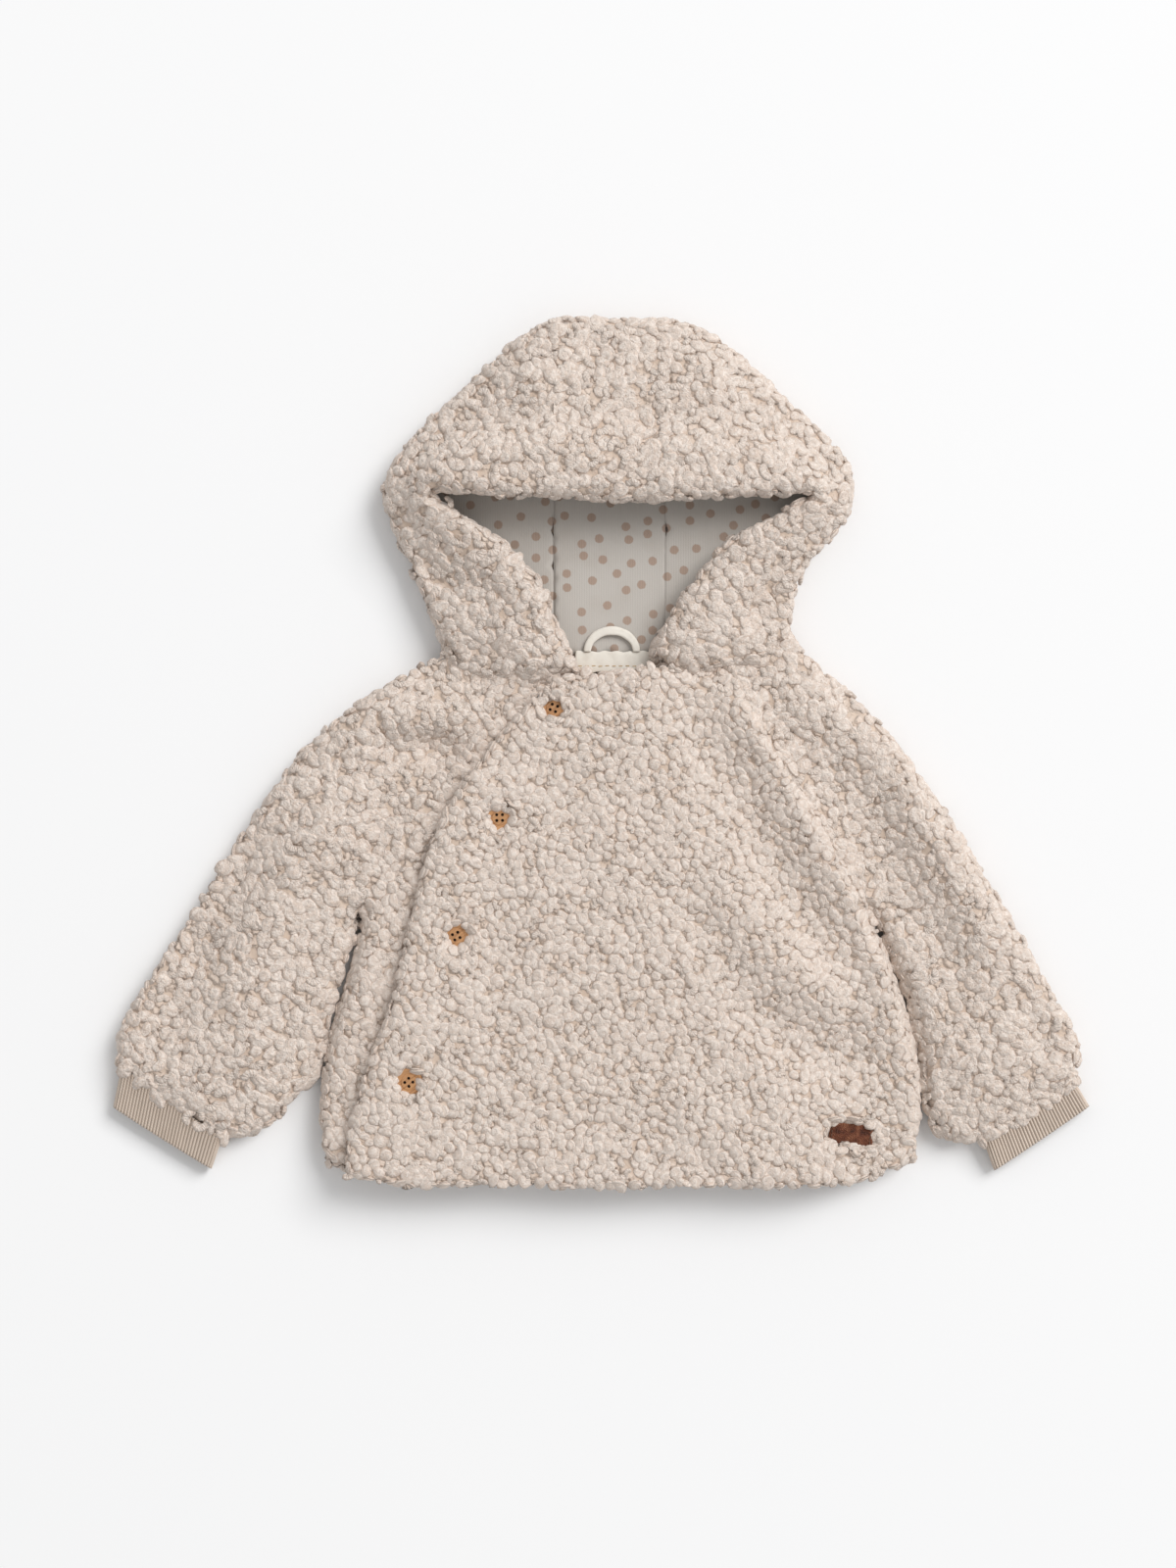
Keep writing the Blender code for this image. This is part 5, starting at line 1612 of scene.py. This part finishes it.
# ---- studio
@dataclass
class Studio:
    """White table, soft light from the upper right and the camera overhead."""
    aim_x: float = -7.2
    aim_y: float = -17.1
    height: float = 2030.0
    lens: float = 85.0
    key_way: tuple[float, float, float] = (0.95, 0.80, 1.0)
    key_distance: float = 13.0
    key_power: float = 1400.0
    key_size: float = 6.4
    sky: float = 0.60

    def build(self, white: Material) -> None:
        """Sets up table, light, sky and camera.

        Args:
            white: Material of the table.
        """
        camera = linked("camera", bpy.data.cameras.new("camera"))
        camera.data.lens, camera.data.clip_end = self.lens, 30.0
        camera.location = Vector((self.aim_x, self.aim_y, self.height)) * MM
        SCENE.camera = camera
        self.table(white)
        self.key()
        world = bpy.data.worlds.new("sky")
        world.use_nodes = True
        sockets = world.node_tree.nodes["Background"].inputs
        sockets[0].default_value, sockets[1].default_value = (1.0, 1.0, 1.0, 1.0), self.sky
        SCENE.world = world
        SCENE.view_settings.view_transform, SCENE.view_settings.look = "Standard", "None"

    def table(self, white: Material) -> None:
        """The plain surface that the jacket lies on.

        Args:
            white: Its material.
        """
        bm = bmesh.new()
        bmesh.ops.create_grid(bm, x_segments=8, y_segments=8, size=3.0)
        table = linked("table", mesh_from("table", bm))
        table.data.materials.append(white)
        table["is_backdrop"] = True

    def key(self) -> None:
        """A square soft light that looks at the middle of the jacket."""
        lamp = bpy.data.lights.new("key", "AREA")
        lamp.size, lamp.energy = self.key_size, self.key_power
        holder = linked("key", lamp)
        holder.location = Vector(self.key_way).normalized() * self.key_distance
        holder.rotation_euler = (-holder.location).to_track_quat("-Z", "Y").to_euler()


# ---- main
OVER_CREASES = creases(
    (38, 27, 78, -35, -3.4, 15), (74, -29, 112, -96, -3.2, 14), (60, 41, 100, -20, 6.2, 15),
    (98, -17, 136, -84, 6.2, 15), (138, -78, 166, -140, 4.0, 11), (160, -120, 174, -208, 2.0, 9),
    (43, -72, 74, -128, -2.6, 12), (60, -62, 88, -114, 2.2, 12), (70, -134, 132, -174, -5.8, 15),
    (86, -108, 152, -148, 5.2, 13), (-68, -14, -92, -106, 3.2, 17), (-92, -98, -118, -204, 3.0, 17),
    (-22, -196, 44, -207, -1.8, 13), (2, -30, 20, -96, 1.0, 18), (-44, -214, -46, -236, -2.6, 7),
    (57, -212, 58, -236, -2.8, 8), (-8, 14, 40, 22, 1.2, 9), (118, -180, 152, -206, 1.6, 12),
    (-30, 4, -18, -44, -1.0, 12), (-64, -70, -44, -150, -1.1, 15))
UNDER_CREASES = creases(
    (-132, -76, -143, -134, -2.6, 6), (-143, -130, -154, -164, -2.2, 6), (-118, -60, -134, -150, 1.4, 8),
    (-92, -30, -112, -96, 1.2, 7), (-64, 30, -86, 4, 1.3, 7))
BACK_CREASES = creases(
    (-88, 22, -60, -118, 2.4, 18), (6, 30, 2, -92, 1.8, 22), (84, 12, 118, -134, 2.2, 16),
    (-30, -104, -44, -214, 1.6, 17), (58, -120, 52, -218, 2.0, 15), side=Side.UNDER)
SLEEVE_LEFT_CREASES = creases(
    (60, 41, 100, -20, 6.2, 15), (98, -17, 136, -84, 6.2, 15), (126, 4, 162, -56, -4.0, 13),
    (158, -48, 196, -124, -4.8, 14), (152, 8, 216, -104, 3.4, 12), (168, -96, 196, -170, 2.6, 13),
    (222, -118, 246, -166, -2.6, 9), (96, 36, 144, 6, 1.8, 12), (186, -168, 200, -206, -1.8, 8),
) + creases((150, -20, 210, -150, 1.6, 14), side=Side.UNDER)
SLEEVE_RIGHT_CREASES = creases(
    (-76, 4, -98, 1, -6.0, 8), (-90, 2, -122, 4, -5.6, 9), (-68, 19, -118, 17, 5.4, 9),
    (-84, 50, -104, 38, -5.6, 10), (-186, -34, -222, -112, -6.2, 16), (-218, -96, -238, -164, -5.6, 14),
    (-142, -20, -180, -100, 4.4, 16), (-180, -90, -198, -172, 4.2, 15), (-112, 30, -150, 2, 1.8, 11),
    (-108, -14, -128, -60, -2.0, 8),
) + creases((-150, -20, -205, -140, 1.6, 14), side=Side.UNDER)
HOOD_CREASES = creases(
    (-86, 180, -12, 186, -4.4, 11), (-22, 186, 66, 184, -4.0, 12), (58, 185, 98, 172, -2.8, 9),
    (-72, 155, -8, 152, -1.4, 4.5), (4, 153, 88, 155, -1.2, 4.5), (-80, 163, 66, 164, 2.0, 9),
    (-3, 226, -5, 200, -1.6, 6), (-54, 214, -68, 186, -2.8, 10), (22, 222, 30, 198, -1.2, 8),
    (-34, 216, -40, 194, 1.5, 9), (52, 216, 70, 190, 1.4, 10), (-86, 98, -58, 83, -3.6, 8),
    (-104, 118, -80, 70, -4.4, 9), (96, 92, 80, 70, -3.6, 8), (60, 84, 42, 56, 1.5, 8),
    (-66, 84, -30, 48, 1.6, 8), (-58, 62, -76, 48, -2.2, 6), (-98, 88, -70, 60, 1.6, 7),
) + creases((-40, 200, 44, 196, 1.8, 14), (-70, 130, 66, 124, 1.5, 12), side=Side.UNDER)
PANELS = (
    SherpaPanel("body_back", Cut(295.0, 290.0, 0.86), BACK_CREASES),
    SherpaPanel("front_right_under", Cut(215.0, 285.0, 0.90), UNDER_CREASES),
    SherpaPanel("front_left_over", Cut(300.0, 285.0, 0.79), OVER_CREASES),
    SherpaPanel("sleeve_left", Cut(200.0, 240.0, 0.76), SLEEVE_LEFT_CREASES, inset=2.7),
    SherpaPanel("sleeve_right", Cut(215.0, 255.0, 0.82), SLEEVE_RIGHT_CREASES, inset=2.7),
    SherpaPanel("hood_centre", Cut(62.0, 320.0, 0.97), HOOD_CREASES, inset=2.7),
    SherpaPanel("hood_side_left", Cut(190.0, 210.0, 0.77), HOOD_CREASES, inset=2.7),
    SherpaPanel("hood_side_right", Cut(175.0, 200.0, 0.72), HOOD_CREASES, inset=2.7),
)
LININGS = (
    Lining("hood_lining_centre", Cut(60.0, 300.0, 0.95)),
    Lining("hood_lining_side_left", Cut(180.0, 200.0, 0.7)),
    Lining("hood_lining_side_right", Cut(180.0, 200.0, 0.7)),
)
CUFFS = (
    Cuff("cuff_left", ((208.0, -209.7), (233.5, -195.0), (258.0, -179.0)),
         ((214.8, -228.4), (241.0, -211.0), (267.0, -193.0))),
    Cuff("cuff_right", ((-206.5, -209.5), (-235.0, -190.0), (-261.5, -170.5)),
         ((-213.0, -227.5), (-240.0, -211.0), (-267.0, -193.5))),
)


def dress_sherpa() -> None:
    """Builds the sherpa panels with their pile, and the cuffs with the curls over them."""
    curls = CurlFinish("sherpa_curls").material()
    fluff = CurlFinish("sherpa_fluff", knot=1.0).material()
    backing = BackingFinish("sherpa_backing").material()
    exposure, tree = Exposure(), PileTree()
    small, loose = CurlStock(CurlKind.SMALL_ROUND, 9, 5), CurlStock(CurlKind.LOOSE_LOOP, 12, 6)
    plain = CurlStock(CurlKind.SMALL_ROUND, 6, 4)
    for number, panel in enumerate(PANELS):
        mesh = panel.build(exposure)
        body = panel.node.startswith(("body", "front"))
        spacing, stock, finish = (4.1, small, curls) if body else (4.7, loose, fluff)
        bands = (-1000.0, -95.0, 1000.0) if panel.node == "front_left_over" else (-1000.0, 1000.0)
        grown = Pile(panel.node + "_curls", "curl_top", spacing, stock, finish, bands=bands,
                     seed=5 + number).grow(mesh, tree)
        grown += Pile(panel.node + "_under_curls", "curl_under", 5.3, plain, curls, height=0.58,
                      seed=45 + number).grow(mesh, tree)
        cloth = add_piece(panel.node + "_cloth", mesh, backing, panel.node)
    Openings().build(small, curls, tree)
    knit = RibFinish("rib_knit").material()
    for cuff in CUFFS:
        cuff.build(knit)
        cuff.edge_curls(loose, fluff, tree)
    for stock in (small, loose, plain):
        stock.clear()


def main() -> None:
    """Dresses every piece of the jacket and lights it."""
    dress_sherpa()
    jersey = JerseyFinish("lining_jersey").material()
    for lining in LININGS:
        lining.build(jersey)
    gold = ThreadFinish("golden_thread", (0.62, 0.40, 0.16)).material()
    NeckTrim().build(TapeFinish("cream_tape").material(), gold)
    wood = WoodFinish("button_wood").material()
    # near-black thread: the buttons' thread, and painted shade inside their holes
    dark = ThreadFinish("dark_thread", (0.045, 0.028, 0.018)).material()
    for number in (1, 2, 3, 4):
        WoodButton(number).build(wood, dark)
    LeatherLabel().build(LeatherFinish("label_leather").material(),
                         ThreadFinish("brown_thread", (0.16, 0.085, 0.05)).material())
    Studio().build(FloorFinish("white_table").material())
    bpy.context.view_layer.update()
    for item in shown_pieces():
        item.data.calc_loop_triangles()


if __name__ == "__main__":
    main()
